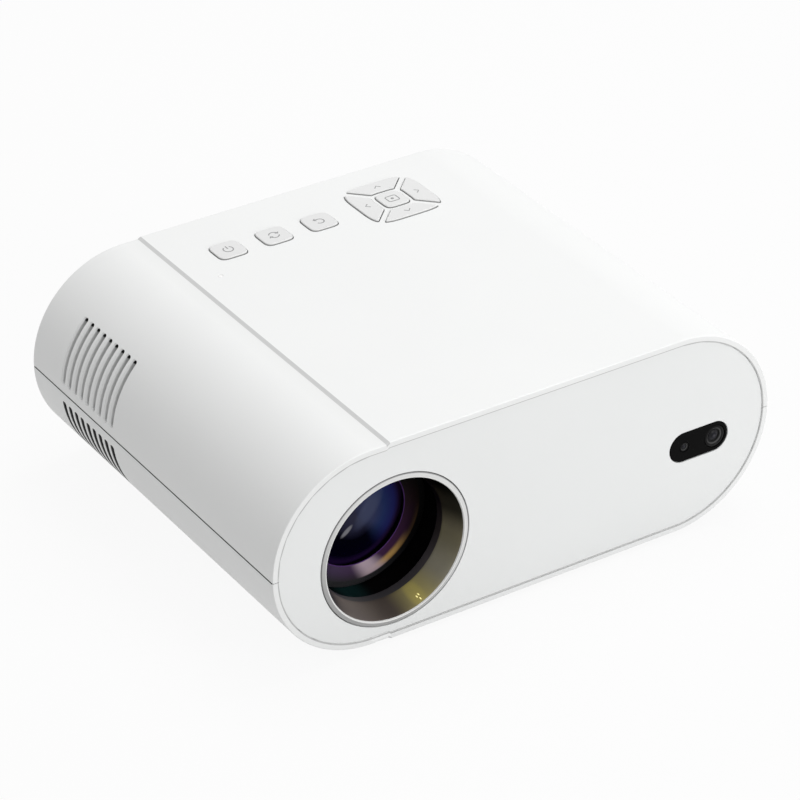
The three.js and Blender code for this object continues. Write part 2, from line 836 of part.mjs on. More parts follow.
function keyBoard() {
  const plate = box(keyBoardLeft, keyBoardRight, keyBoardFront, keyBoardBack, keyBoardBottomZ, keyBoardTopZ);
  const half = switchSize / 2;
  const switchTopZ = keyBoardTopZ + switchHeight;
  const places = [...keyXs.map((x) => [x, keyRowY]), [padX, keyRowY], ...[0, 1, 2, 3].map(padStem)];
  const switches = places.flatMap(([x, y]) => [
    box(x - half, x + half, y - half, y + half, keyBoardTopZ - boardThickness / 2, switchTopZ),
    rodZ(plungerRadius, keyBoardTopZ, switchTopZ + plungerHeight, x, y, tinySides),
  ]);
  const holes = pinsZ(pinRadius + fit, keyBoardBottomZ - overrun, keyBoardTopZ + overrun, keyPosts);
  return cut(joined(plate, ...switches), ...holes);
}

function statusLight() {
  const pipe = rodZ(lightRadius, keyBoardTopZ + fit, topZ, lightX, lightY);
  return joined(pipe, rodZ(lightRadius + lightFlange, flangeBottomZ, flangeTopZ, lightX, lightY));
}

// Lens: holder, barrel with its rack, glass, pinion and motor
function rackShape(clear) {
  const half = (rackTeeth * rackPitch) / 2;
  const tip = rackLineX + toothModule * toothTipShare;
  if (clear) {
    const reach = half + focusTravel + 2 * fit;
    return rectangle(lensX, tip + 2 * fit, pinionY - reach, pinionY + reach);
  }
  const root = rackLineX - toothModule * toothRootShare;
  const back = lensX + barrelRadius - wall;
  const [low, high] = [rackRootShare, rackTipShare];
  const tooth = [[root, -low], [tip, -high], [tip, high], [root, low]];
  const points = [new THREE.Vector2(back, pinionY + half), new THREE.Vector2(back, pinionY - half)];
  for (let i = 0; i < rackTeeth; i += 1) {
    const y = pinionY - half + (i + 1 / 2) * rackPitch;
    tooth.forEach(([x, share]) => points.push(new THREE.Vector2(x, y + share * rackPitch)));
  }
  return new THREE.Shape(points);
}

function lensHolder() {
  const from = frontY + holderDepth;
  const to = engineFrontY - fit;
  const outer = holderBore + holderWall;
  const tube = rodY(outer, from, to, lensX, lensZ, roundSides);
  const half = holderFlangeSize / 2;
  const top = engineTopZ - engineWall;
  const flange = box(lensX - half, lensX + half, to - holderFlangeThickness, to, engineBottomZ, top);
  const slotRise = pinionWidth / 2 + 2 * fit;
  const armZ = lensZ + slotRise;
  const armTopZ = armZ + bracketThickness;
  const armEndX = pinionX + bracketReach / 2;
  const arm = box(lensX, armEndX, pinionY - motorRadius, pinionY + motorRadius, armZ, armTopZ);
  const slot = extrude(rackShape(true), "z", lensZ - slotRise, lensZ + slotRise);
  const shaftHole = rodZ(pinionShaftRadius + fit, armZ - overrun, armTopZ + overrun, pinionX, pinionY);
  const bore = rodY(holderBore, from - overrun, to + overrun, lensX, lensZ, roundSides);
  return cut(joined(tube, flange, arm), bore, slot, shaftHole);
}

function lensBarrel() {
  const to = barrelFrontY + barrelLength;
  const dishY = barrelFrontY + barrelDish;
  const stopY = barrelFrontY + barrelStopPlace;
  const outline = [
    [barrelNose, dishY],
    [barrelRadius, barrelFrontY],
    [barrelRadius, to],
    [rearBore, to],
    [rearBore, stopY + barrelStopWidth],
    [barrelStop, stopY + barrelStopWidth],
    [barrelStop, stopY],
    [barrelBore, stopY],
    [barrelBore, dishY + barrelLip],
    [barrelNose, dishY + barrelLip],
  ];
  const body = turned(outline, "y", [lensX, 0, lensZ]);
  const rack = extrude(rackShape(false), "z", lensZ - pinionWidth / 2, lensZ + pinionWidth / 2);
  return joined(body, rack);
}

// A round glass whose front bulges and whose back is flat
function glass(radius, thickness, curve, frontPlace, steps = glassSteps) {
  const arc = Array.from({ length: steps + 1 }, (_, i) => {
    const r = (radius * i) / steps;
    return [r, frontPlace + curve - Math.sqrt(curve * curve - r * r)];
  });
  return [...arc, [radius, frontPlace + thickness], [0, frontPlace + thickness]];
}

function frontGlass() {
  const place = barrelFrontY + barrelDish + fit;
  const outline = glass(barrelBore - fit, frontGlassThickness, frontGlassCurve, place);
  return turned(outline, "y", [lensX, 0, lensZ]);
}

function rearGlass() {
  const place = barrelFrontY + barrelStopPlace + barrelStopWidth + fit;
  const outline = glass(rearBore - fit, rearGlassThickness, rearGlassCurve, place);
  return turned(outline, "y", [lensX, 0, lensZ]);
}

function pinion() {
  const tip = pinionRadius + toothModule * toothTipShare;
  const root = pinionRadius - toothModule * toothRootShare;
  const [low, high] = [pinionRootShare, pinionTipShare];
  const tooth = [[root, -low], [tip, -high], [tip, high], [root, low]];
  const points = [];
  for (let i = 0; i < pinionTeeth; i += 1) {
    const pitch = (2 * Math.PI) / pinionTeeth;
    tooth.forEach(([r, share]) => {
      const angle = (i + share) * pitch;
      points.push(new THREE.Vector2(pinionX + r * Math.cos(angle), pinionY + r * Math.sin(angle)));
    });
  }
  const gear = extrude(new THREE.Shape(points), "z", lensZ - pinionWidth / 2, lensZ + pinionWidth / 2);
  return joined(gear, rodZ(pinionShaftRadius, lensZ, lensZ + pinionShaftLength, pinionX, pinionY));
}

function focusMotor() {
  const from = lensZ + pinionWidth / 2 + 3 * fit + bracketThickness;
  const body = rodZ(motorRadius, from, from + motorLength, pinionX, pinionY, roundSides / 2);
  const shaftEndZ = lensZ + pinionShaftLength;
  return cut(body, rodZ(pinionShaftRadius + fit, from - overrun, shaftEndZ + fit, pinionX, pinionY));
}

// Light engine
function enginePlan(grow) {
  const half = engineHalf + grow;
  const slant = (mirrorThickness + fit + grow) * Math.SQRT2;
  return new THREE.Shape([
    new THREE.Vector2(lensX - half, engineY - half),
    new THREE.Vector2(engineRightX + grow, engineY - half),
    new THREE.Vector2(engineRightX + grow, engineY + half),
    new THREE.Vector2(lensX + half - slant, engineY + half),
    new THREE.Vector2(lensX - half, engineY - half + slant),
  ]);
}

const engineFloorZ = engineBottomZ + engineWall;
const engineRoofZ = engineTopZ - engineWall - fit;
const lcdX = lensX + lcdPlace;
const condenserX = lensX + condenserPlace;
const platePlaces = [
  [lcdX - fresnelStep, plateThickness],
  [lcdX, lcdThickness],
  [lcdX + fresnelStep, plateThickness],
];

function grooves() {
  return platePlaces.flatMap(([x, thickness]) =>
    [-1, 1].map((side) => {
      const wallY = engineY + side * (engineHalf + engineWall / 2);
      const tipY = engineY + side * (engineHalf - grooveHeight);
      const fromX = x + thickness / 2 + fit;
      const [fromY, toY] = side < 0 ? [wallY, tipY] : [tipY, wallY];
      return box(fromX, fromX + grooveRib, fromY, toY, engineBottomZ, engineRoofZ);
    }),
  );
}

function engineHousing() {
  const whole = extrude(enginePlan(engineWall), "z", engineBottomZ, engineRoofZ);
  const room = extrude(enginePlan(0), "z", engineFloorZ, engineRoofZ + overrun);
  const wallBackY = engineFrontY + engineWall;
  const wallEndX = engineRightX + engineWall;
  const lensHole = rodY(barrelStop, engineFrontY - overrun, wallBackY + overrun, lensX, lensZ, roundSides);
  const sides = roundSides / 2;
  const ledHole = rodX(ledDome + fit, engineRightX - overrun, wallEndX + overrun, engineY, lensZ, sides);
  const half = engineHalf + engineWall / 2;
  const baffleX = condenserX + condenserEdge + fit;
  const baffleEndX = baffleX + engineWall;
  const collarX = baffleX - condenserCollar;
  const boreRadius = condenserRadius + fit;
  const baffle = box(baffleX, baffleEndX, engineY - half, engineY + half, engineBottomZ, engineRoofZ);
  const collar = rodX(boreRadius + grooveRib, collarX, baffleX, engineY, lensZ, roundSides);
  const collarBore = rodX(boreRadius, collarX - overrun, baffleX, engineY, lensZ, roundSides);
  const lightHole = condenserRadius - grooveRib;
  const light = rodX(lightHole, baffleX - overrun, baffleEndX + overrun, engineY, lensZ, roundSides);
  const pins = pinsZ(postRadius / 2, engineBottomZ - enginePinLength, engineFloorZ, enginePosts);
  const tray = cut(whole, room, lensHole, ledHole);
  return joined(tray, ...grooves(), cut(joined(baffle, collar), collarBore, light), ...pins);
}

function engineCover() {
  const plate = extrude(enginePlan(engineWall), "z", engineTopZ - engineWall, engineTopZ);
  return joined(plate, ...boardPosts(mainPosts, engineTopZ - engineWall / 2, mainBoardZ - fit));
}

function enginePlate(x, thickness) {
  const half = engineHalf - fit;
  const thick = thickness / 2;
  return box(x - thick, x + thick, engineY - half, engineY + half, engineFloorZ + fit, engineRoofZ);
}

function mirror() {
  const length = (engineBay - 2 * mirrorMargin) * Math.SQRT2;
  return box(-length / 2, length / 2, 0, mirrorThickness, engineFloorZ + fit, engineRoofZ);
}

function condenser() {
  const dome = glass(condenserRadius, condenserCurve, condenserCurve, 0, curveSteps).slice(0, -2);
  const edge = dome.at(-1)[1];
  const bulge = dome.map(([r, s]) => [r, s - edge]);
  const outline = [...bulge, [condenserRadius, condenserEdge], [0, condenserEdge]];
  return turned(outline, "x", [condenserX, engineY, lensZ]);
}

function ledModule() {
  const x = engineRightX + engineWall + fit;
  const half = ledSize / 2;
  const plate = box(x, x + ledThickness, engineY - half, engineY + half, lensZ - half, lensZ + half);
  const dome = Array.from({ length: curveSteps + 1 }, (_, i) => {
    const angle = (Math.PI / 2) * (i / curveSteps);
    return [ledDome * Math.sin(angle), -ledDome * Math.cos(angle)];
  });
  const outline = [...dome, [ledDome, ledThickness / 2], [0, ledThickness / 2]];
  return joined(plate, turned(outline, "x", [x, engineY, lensZ], roundSides / 2));
}

// Heat sink: a comb of fins on a base plate
function heatSink() {
  const half = sinkSize / 2;
  const pitch = (sinkSize - finThickness) / (finCount - 1);
  const tipX = sinkX + sinkBase + finLength;
  const points = [[sinkX, half], [sinkX, -half]];
  for (let i = 0; i < finCount; i += 1) {
    const y = -half + i * pitch;
    points.push([tipX, y], [tipX, y + finThickness]);
    if (i < finCount - 1) points.push([sinkX + sinkBase, y + finThickness], [sinkX + sinkBase, y + pitch]);
  }
  const shape = new THREE.Shape(points.map(([x, y]) => new THREE.Vector2(x, engineY + y)));
  return extrude(shape, "z", lensZ - sinkHeight / 2, lensZ + sinkHeight / 2);
}

// Fan
function fanFrame() {
  const half = fanSize / 2;
  const body = box(fanX, fanEndX, engineY - half, engineY + half, lensZ - half, lensZ + half);
  const bore = rodX(fanBoreRadius, fanX - overrun, fanEndX + overrun, engineY, lensZ, roundSides);
  const holes = fourPlaces(fanHoleSpacing / 2, fanHoleSpacing / 2).map(([y, z]) =>
    rodX(fanHoleRadius, fanX - overrun, fanEndX + overrun, engineY + y, lensZ + z),
  );
  const seat = rodX(fanHubRadius, fanEndX - fanStrut, fanEndX, engineY, lensZ, roundSides / 2);
  const shaft = rodX(fanShaftRadius, fanX + fanStrut, fanEndX - fanStrut / 2, engineY, lensZ);
  const struts = Array.from({ length: fanStrutCount }, (_, i) => {
    const bar = new THREE.BoxGeometry(fanStrut, fanBoreRadius + overrun, fanStrutWidth);
    bar.translate(fanEndX - fanStrut / 2, (fanBoreRadius + overrun) / 2, 0);
    bar.rotateX((Math.PI * (2 * i + 1)) / fanStrutCount).translate(...fanCentre);
    return solidOf(bar);
  });
  return joined(cut(body, bore, ...holes), seat, shaft, ...struts);
}

// One blade, twisted and widened from its root to its tip
function fanBlade(turn) {
  const rootRadius = fanHubRadius - bladeThickness;
  const tipRadius = fanBoreRadius - fanTipGap;
  const middleX = (fanX + fanEndX - fanStrut) / 2;
  const blade = new THREE.BoxGeometry(1, bladeThickness, 1, bladeSteps, 1, 1);
  const places = blade.attributes.position;
  for (let i = 0; i < places.count; i += 1) {
    const reach = places.getX(i) + 0.5;
    const pitch = THREE.MathUtils.lerp(bladeRootPitch, bladeTipPitch, reach) * degree;
    const along = places.getZ(i) * THREE.MathUtils.lerp(bladeRootChord, bladeTipChord, reach);
    const through = places.getY(i);
    const radius = THREE.MathUtils.lerp(rootRadius, tipRadius, reach);
    const across = through * Math.sin(pitch) - along * Math.cos(pitch);
    const up = Math.sqrt(radius * radius - across * across);
    places.setXYZ(i, along * Math.sin(pitch) + through * Math.cos(pitch), up, across);
  }
  blade.rotateX(turn).translate(middleX, engineY, lensZ);
  return solidOf(blade);
}

function fanRotor() {
  const fromX = fanX + fit;
  const toX = fanEndX - fanStrut - 2 * fit;
  const hub = rodX(fanHubRadius, fromX, toX, engineY, lensZ, roundSides / 2);
  const blades = Array.from({ length: bladeCount }, (_, i) => fanBlade((2 * Math.PI * i) / bladeCount));
  const bore = rodX(fanShaftRadius + fit, fanX + fanStrut - fit, fanEndX, engineY, lensZ);
  return cut(joined(hub, ...blades), bore);
}

// Boards and sockets
function boardHoles(places, z) {
  return pinsZ(pinRadius + fit, z - overrun, z + boardThickness + overrun, places);
}

function mainBoard() {
  const plate = box(mainBoardLeft, mainBoardRight, mainBoardFront, mainBoardBack, mainBoardZ, mainBoardTopZ);
  return cut(plate, ...boardHoles(mainPosts, mainBoardZ));
}

function socket(x, width, height, depth, skin, tongue) {
  const z = mainBoardTopZ + fit;
  const topOfShell = z + height;
  const mouthY = rearY - panelRecess;
  const cavityY = mouthY - socketCavity;
  const half = width / 2;
  const room = half - skin;
  const reach = room - skin;
  const bladeZ = z + (height - tongue) / 2;
  const shell = box(x - half, x + half, mouthY - depth, mouthY, z, topOfShell);
  const cavity = box(x - room, x + room, cavityY, mouthY + overrun, z + skin, topOfShell - skin);
  const blade = box(x - reach, x + reach, cavityY - overrun, mouthY - overrun, bladeZ, bladeZ + tongue);
  return joined(cut(shell, cavity), blade);
}

function audioJack() {
  const z = mainBoardTopZ + fit;
  const mouthY = rearY - panelRecess;
  const half = jackWidth / 2;
  const body = box(jackX - half, jackX + half, mouthY - jackDepth, mouthY, z, z + jackHeight);
  const holeY = mouthY - jackDepth + 2 * overrun;
  return cut(body, rodY(jackHoleRadius, holeY, mouthY + overrun, jackX, z + jackHeight / 2));
}

function inletSolid(width, height, grow, fromY, toY) {
  const shape = new THREE.Shape();
  const radius = height / 2 + grow;
  const reach = width / 2 - height / 2;
  shape.absarc(inletX + reach, inletZ, radius, -Math.PI / 2, Math.PI / 2, false);
  shape.absarc(inletX - reach, inletZ, radius, Math.PI / 2, (3 * Math.PI) / 2, false);
  return extrude(shape, "y", fromY, toY, 0, curveSteps);
}

function mainsInlet() {
  const mouthY = rearY - panelRecess;
  const cavityY = mouthY - inletCavityDepth;
  const flangeY = rearInsideY - fit;
  const body = inletSolid(inletWidth, inletHeight, 0, mouthY - inletDepth, mouthY);
  const flange = inletSolid(inletWidth, inletHeight, inletFlange, flangeY - inletFlange, flangeY);
  const cavity = inletSolid(inletCavityWidth, inletCavityHeight, 0, cavityY, mouthY + overrun);
  const pins = [-1, 1].map((side) => {
    const x = inletX + (side * inletPinSpacing) / 2;
    return rodY(inletPinRadius, cavityY - overrun, mouthY - overrun, x, inletZ);
  });
  return joined(cut(joined(body, flange), cavity), ...pins);
}

function powerBoard() {
  const plate = box(powerLeft, powerRight, powerFront, powerBack, powerBoardZ, powerBoardZ + boardThickness);
  const middleX = (powerLeft + powerRight) / 2;
  const middleY = (powerFront + powerBack) / 2;
  const base = powerBoardZ + boardThickness / 2;
  const transformer = box(
    middleX - transformerWidth / 2,
    middleX + transformerWidth / 2,
    middleY - transformerDepth / 2,
    middleY + transformerDepth / 2,
    base,
    base + transformerHeight,
  );
  const capacitorX = middleX + transformerWidth / 2 + 2 * capacitorRadius;
  const capacitor = rodZ(capacitorRadius, base, base + capacitorHeight, capacitorX, middleY, roundSides / 2);
  return cut(joined(plate, transformer, capacitor), ...boardHoles(powerPosts, powerBoardZ));
}

// Rear panel, its openings and the speaker behind it
function rearHole(fromX, toX, fromZ, toZ) {
  return box(fromX, toX, rearInsideY - overrun, rearY + overrun, fromZ, toZ);
}

function socketHole(x, width, height) {
  const half = width / 2 + fit;
  return rearHole(x - half, x + half, mainBoardTopZ, mainBoardTopZ + height + 2 * fit);
}

function grilleCuts() {
  return Array.from({ length: grilleSlots }, (_, i) => {
    const drop = (i - (grilleSlots - 1) / 2) * grillePitch;
    const half = Math.sqrt(coneRadius * coneRadius - drop * drop);
    const z = speakerZ + drop - grilleWidth / 2;
    return rearHole(speakerX - half, speakerX + half, z, z + grilleWidth);
  });
}

function rearPanel() {
  const plate = extrude(caseShape(wall + fit), "y", rearInsideY, rearY - panelRecess);
  const holes = [
    socketHole(hdmiX, hdmiWidth, hdmiHeight),
    socketHole(usbFirstX, usbWidth, usbHeight),
    socketHole(usbSecondX, usbWidth, usbHeight),
    socketHole(jackX, jackWidth, jackHeight),
    inletSolid(inletWidth, inletHeight, fit, rearInsideY - overrun, rearY + overrun),
  ];
  return cut(plate, ...holes, ...grilleCuts());
}

function speaker() {
  const back = rearInsideY - fit;
  const outline = [
    [coneRadius + fit, back],
    [speakerRadius, back],
    [speakerRadius, back - speakerRim],
    [magnetRadius, back - speakerDepth / 2],
    [magnetRadius, back - speakerDepth],
    [0, back - speakerDepth],
    [0, back - coneDepth - 2 * fit - speakerRim],
    [coneRadius / 2, back - coneDepth - 2 * fit - speakerRim],
    [coneRadius + fit, back - speakerRim],
  ];
  return turned(outline, "y", [speakerX, 0, speakerZ]);
}

function speakerCone() {
  const back = rearInsideY - 2 * fit;
  const outline = [
    [coneRadius, back],
    [coneRadius, back - coneThickness],
    [coneRadius / 2 - coneThickness, back - coneDepth - coneThickness],
    [0, back - coneDepth - coneThickness],
    [0, back - coneDepth],
    [coneRadius / 2 - coneThickness, back - coneDepth],
    [coneRadius - coneThickness, back],
  ];
  return turned(outline, "y", [speakerX, 0, speakerZ]);
}

// Materials
function plain(color, roughness, metalness = 0) {
  return new THREE.MeshStandardMaterial({ color, roughness, metalness });
}

const whitePlastic = plain(0xf2f3f3, 0.55);
const panelPlastic = plain(0xe9eaeb, 0.5);
const keyPlastic = plain(0xe4e5e6, 0.5);
const boardGreen = plain(0x1f5a34, 0.5);
const socketSteel = plain(0x9a9da2, 0.35, 0.9);
const screwSteel = plain(0x8d9095, 0.35, 0.9);
const footRubber = plain(0x2c2d30, 0.9);
const projector = new THREE.Group();

function add(name, solid, material, place = [0, 0, 0], turnZ = 0) {
  const mesh = new THREE.Mesh(geometryOf(solid), material);
  mesh.name = name;
  mesh.position.set(...place);
  mesh.rotation.z = turnZ;
  projector.add(mesh);
}

add("upper_shell", upperShell(), whitePlastic);
add("lower_shell", lowerShell(), whitePlastic);
add("front_panel", frontPanel(), panelPlastic);
add("rear_panel", rearPanel(), panelPlastic);
add("lens_ring", lensRing(), plain(0xd4d6d8, 0.3, 0.8));
add("lens_hood", lensHood(), plain(0x2e2c28, 0.35));
add("sensor_window", sensorWindow(), plain(0x0c0c0e, 0.1));
add("camera_module", sensorTube(cameraX, cameraRadius), plain(0x101014, 0.2));
add("range_sensor", sensorTube(rangeX, rangeRadius), plain(0x15151a, 0.2));
add("sensor_board", sensorBoard(), boardGreen);
["power_key", "source_key", "back_key"].forEach((name, i) => {
  add(name, squareKey(keyXs[i], keyWidth, keyDepth), keyPlastic);
});
["up_key", "right_key", "down_key", "left_key"].forEach((name, turn) => {
  add(name, padKey(turn), keyPlastic);
});
add("ok_key", squareKey(padX, okWidth, okDepth), keyPlastic);
add("status_light", statusLight(), plain(0xf6f6f6, 0.3));
add("key_board", keyBoard(), boardGreen);
add("lens_holder", lensHolder(), plain(0x18181a, 0.6));
add("lens_barrel", lensBarrel(), plain(0x141416, 0.3));
add("front_glass", frontGlass(), plain(0x1b1c4a, 0.05));
add("rear_glass", rearGlass(), plain(0x9fb4c0, 0.05));
add("focus_motor", focusMotor(), plain(0xa8abb0, 0.35, 0.9));
add("focus_pinion", pinion(), plain(0xe8e4d8, 0.5));
add("engine_housing", engineHousing(), plain(0x202124, 0.6));
add("engine_cover", engineCover(), plain(0x202124, 0.6));
add("field_fresnel", enginePlate(...platePlaces[0]), plain(0xdfe8ec, 0.1));
add("lcd_panel", enginePlate(...platePlaces[1]), plain(0x2a3038, 0.15));
add("collimating_fresnel", enginePlate(...platePlaces[2]), plain(0xdfe8ec, 0.1));
add("mirror", mirror(), plain(0xd8dee4, 0.03, 1), [lensX, engineY, 0], Math.PI / 4);
add("condenser_lens", condenser(), plain(0xd8e4ea, 0.05));
add("led_module", ledModule(), plain(0xe8d27a, 0.4));
add("heat_sink", heatSink(), plain(0xb4b8bc, 0.4, 0.9));
add("fan_frame", fanFrame(), plain(0x17171a, 0.5));
add("fan_rotor", fanRotor(), plain(0x1d1d21, 0.45));
add("main_board", mainBoard(), boardGreen);
add("hdmi_socket", socket(hdmiX, hdmiWidth, hdmiHeight, hdmiDepth, hdmiSkin, hdmiTongue), socketSteel);
add("usb_socket_1", socket(usbFirstX, usbWidth, usbHeight, usbDepth, usbSkin, usbTongue), socketSteel);
add("usb_socket_2", socket(usbSecondX, usbWidth, usbHeight, usbDepth, usbSkin, usbTongue), socketSteel);
add("audio_jack", audioJack(), plain(0x141416, 0.4));
add("mains_inlet", mainsInlet(), plain(0x141416, 0.4));
add("power_board", powerBoard(), plain(0x8a6a2c, 0.5));
add("speaker", speaker(), plain(0x3a3c40, 0.5, 0.6));
add("speaker_cone", speakerCone(), plain(0x101012, 0.8));
footPlaces.forEach(([x, y], i) => add(`foot_${i + 1}`, foot(), footRubber, [x, y, 0]));
add("tripod_insert", tripodInsert(), plain(0xb9975a, 0.35, 0.9));
bossPlaces.forEach(([x, y], i) => add(`case_screw_${i + 1}`, caseScrew(), screwSteel, [x, y, 0]));

export default projector;
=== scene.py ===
"""Looks of a compact video projector, built round its packed CAD parts."""

import math

import bmesh
import bpy
from bpy.props import FloatProperty, FloatVectorProperty, IntProperty, PointerProperty
from mathutils import Matrix, Vector


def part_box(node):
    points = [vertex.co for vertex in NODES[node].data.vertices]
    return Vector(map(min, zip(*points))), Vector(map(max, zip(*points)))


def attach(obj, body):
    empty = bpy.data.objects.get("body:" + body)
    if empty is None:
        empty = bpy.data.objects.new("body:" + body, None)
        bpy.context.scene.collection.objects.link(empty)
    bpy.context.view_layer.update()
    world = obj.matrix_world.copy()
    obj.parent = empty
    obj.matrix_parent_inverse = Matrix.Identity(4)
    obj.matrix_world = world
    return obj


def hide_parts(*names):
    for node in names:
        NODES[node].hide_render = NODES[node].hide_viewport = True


bl_info = {
    "name": "Projector Builder",
    "version": (1, 0, 0),
    "blender": (4, 5, 0),
    "location": "3D View > Sidebar > Projector",
    "description": "Builds a compact video projector with its finishes and its studio",
    "category": "Object",
}

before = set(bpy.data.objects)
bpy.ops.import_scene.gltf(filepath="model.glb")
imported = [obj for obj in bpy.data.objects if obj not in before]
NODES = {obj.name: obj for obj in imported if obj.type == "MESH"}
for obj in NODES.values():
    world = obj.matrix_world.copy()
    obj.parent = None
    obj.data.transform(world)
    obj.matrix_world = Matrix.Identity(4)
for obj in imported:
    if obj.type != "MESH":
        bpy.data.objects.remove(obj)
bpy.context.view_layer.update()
MM = 0.001
TURN = 2 * math.pi
WELD = 1e-7
LIGHT_RADIUS = 1 * MM
LEAST_CORNER = 0.02 * MM
LEAST_SLOT = 0.05 * MM
KEY_FLANGE = 0.7 * MM
WINDOW_FLANGE = 1.4 * MM
INLET_FLANGE = 2 * MM
FLANGE_DEPTH = 1.2 * MM
DIRECTION_KEYS = ("up_key", "right_key", "down_key", "left_key")


# Values that a user would change


def size(name, description, millimetres):
    value = millimetres * MM
    return FloatProperty(name=name, description=description, default=value, precision=4, unit="LENGTH")


def angle(name, description, degrees):
    return FloatProperty(name=name, description=description, default=math.radians(degrees), unit="ROTATION")


def count(name, description, number):
    return IntProperty(name=name, description=description, default=number, min=1)


def colour(name, description, value):
    settings = {"size": 3, "min": 0, "max": 1, "subtype": "COLOR"}
    return FloatVectorProperty(name=name, description=description, default=value, **settings)


def factor(name, description, value):
    return FloatProperty(name=name, description=description, default=value, min=0, max=1, subtype="FACTOR")


class ProjectorCase(bpy.types.PropertyGroup):
    left_radius: size("Left Radius", "Radius of the round end beside the lens", 41.6)
    right_radius: size("Right Radius", "Radius of the other round end", 42.3)
    spacing: size("End Spacing", "Distance between the middles of the round ends", 136.1)
    stand: size("Stand", "Height of the case above the surface it stands on", 2)
    wall: size("Wall", "Thickness of the moulded case", 2.4)
    rim_round: size("Rim Rounding", "Radius of the front and rear rims", 0.4)
    seam: size("Seam", "Gap between the two halves of the case", 0.3)
    seam_round: size("Seam Rounding", "Radius of the edges along the seam", 0.22)
    step_place: size("Step Place", "Distance of the step from the middle of the left end", 6.6)
    step_width: size("Step Width", "Width of the slope that joins the two radii", 1.3)
    recess: size("Panel Recess", "Depth of the panels behind the rims", 0.4)
    panel: size("Panel Thickness", "Thickness of the front and rear panels", 2.4)
    fit: size("Fit", "Gap between parts that fit together", 0.3)
    smoothness: count("Smoothness", "Steps in a quarter turn of the round ends", 40)


class ProjectorVents(bpy.types.PropertyGroup):
    number: count("Slots", "Vent slots in each row", 9)
    pitch: size("Pitch", "Distance between the middles of neighbouring slots", 4.72)
    place: size("Place", "Distance of the middle slot behind the middle of the case", 46.9)
    width: size("Slot Width", "Width of one slot", 2)
    upper_lead: size("Upper Slot Edge", "Width of the sloping edge of the upper slots", 0.6)
    lower_lead: size("Lower Slot Edge", "Width of the sloping edge of the lower slots", 0.45)
    upper_start: angle("Upper Start", "Where the upper slots begin, above the seam", 5.3)
    lower_start: angle("Lower Start", "Where the lower slots begin, below the seam", 5.8)
    end: angle("End", "Where all the slots end", 45)


class ProjectorKeys(bpy.types.PropertyGroup):
    power: FloatProperty(name="Squareness", description="Exponent of the keys' outline", default=4.6, min=2)
    proud: size("Proud", "Height of the keys above the case", 0.57)
    crown: size("Edge Rounding", "Radius round the top of a key", 0.45)
    corner: size("Corner Rounding", "Radius of the direction keys' corners", 0.7)
    rib: size("Rib", "Width of the case between the direction keys", 2.8)
    pad_width: size("Pad Width", "Width over the direction keys", 32)
    pad_depth: size("Pad Depth", "Depth over the direction keys", 30.8)
    hole_width: size("Middle Width", "Width of the island round the middle key", 14.8)
    hole_depth: size("Middle Depth", "Depth of the island round the middle key", 15.2)
    symbol: size("Symbol Size", "Radius of the printed symbols", 2)
    line: size("Symbol Line", "Width of the lines of the symbols", 0.46)
    ink: size("Ink", "Thickness of the printed symbols", 0.03)


class ProjectorLens(bpy.types.PropertyGroup):
    ring: size("Ring Radius", "Outer radius of the bright ring", 31.5)
    ring_width: size("Ring Width", "Width of the bright ring", 2)
    hood_mouth: size("Hood Mouth", "Radius of the hood at its back", 26.3)
    hood_depth: size("Hood Depth", "Depth of the hood behind the rim", 10)
    hood_lip: size("Hood Lip", "Length of the straight lip behind the hood", 3.7)
    barrel: size("Barrel Radius", "Outer radius of the barrel", 28.6)
    barrel_front: size("Barrel Place", "Depth of the barrel behind the rim", 24.9)
    nose: size("Nose Radius", "Radius of the opening in the barrel's face", 20.3)
    glass_curve: size("Glass Curve", "Radius of the curve of the front glass", 80)
    sides: count("Sides", "Flats round the ring, hood and barrel", 160)


class ProjectorFinishes(bpy.types.PropertyGroup):
    shell: colour("Case", "Colour of the case halves", (0.818, 0.824, 0.82))
    panel: colour("Panels", "Colour of the front and rear panels", (0.796, 0.806, 0.802))
    key: colour("Keys", "Colour of the keys", (0.72, 0.722, 0.72))
    symbol: colour("Symbols", "Colour of the printed symbols", (0.27, 0.271, 0.272))
    ring: colour("Ring", "Colour of the bright ring", (0.66, 0.662, 0.655))
    board: colour("Boards", "Colour of the circuit boards", (0.012, 0.09, 0.035))


class ProjectorStudio(bpy.types.PropertyGroup):
    lens: FloatProperty(name="Lens", description="Focal length", default=163.08, min=1, unit="CAMERA")
    azimuth: angle("Azimuth", "Bearing of the camera", -32.585)
    elevation: angle("Elevation", "Height of the camera over the horizon", 31.477)
    roll: angle("Roll", "Turn of the camera round its line of sight", -0.365)
    floor: size("Floor", "Width of the floor", 6000)
    ambient: factor("Ambient", "Strength of the light from all round", 0.58)
    white: factor("White", "Share of plain white in the floor", 0.92)


GROUPS = {
    "projector_case": ProjectorCase,
    "projector_vents": ProjectorVents,
    "projector_keys": ProjectorKeys,
    "projector_lens": ProjectorLens,
    "projector_finishes": ProjectorFinishes,
    "projector_studio": ProjectorStudio,
}


def values(name):
    return getattr(bpy.context.scene, "projector_" + name)


# Places read from the frame


def middle(node):
    return extent(node)[2]


def extent(node):
    """The corners of a node's box, its middle and half its width."""
    low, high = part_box(node)
    return low, high, (low + high) / 2, (high.x - low.x) / 2


def from_behind(node):
    """The middle, width and height of a node as seen along Y."""
    low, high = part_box(node)
    return (low.x + high.x) / 2, (low.z + high.z) / 2, high.x - low.x, high.z - low.z


def case_top():
    return middle_height() + values("case").right_radius


def front():
    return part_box("upper_shell")[0].y


def rear():
    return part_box("upper_shell")[1].y


def middle_height():
    case = values("case")
    return case.stand + case.right_radius


def end_middles():
    case = values("case")
    width = case.left_radius + case.spacing + case.right_radius
    return case.left_radius - width / 2, width / 2 - case.right_radius


def flange_top():
    """Where the flanges of the keys and the status light end, below the top of the case."""
    case = values("case")
    return case_top() - case.wall - case.fit


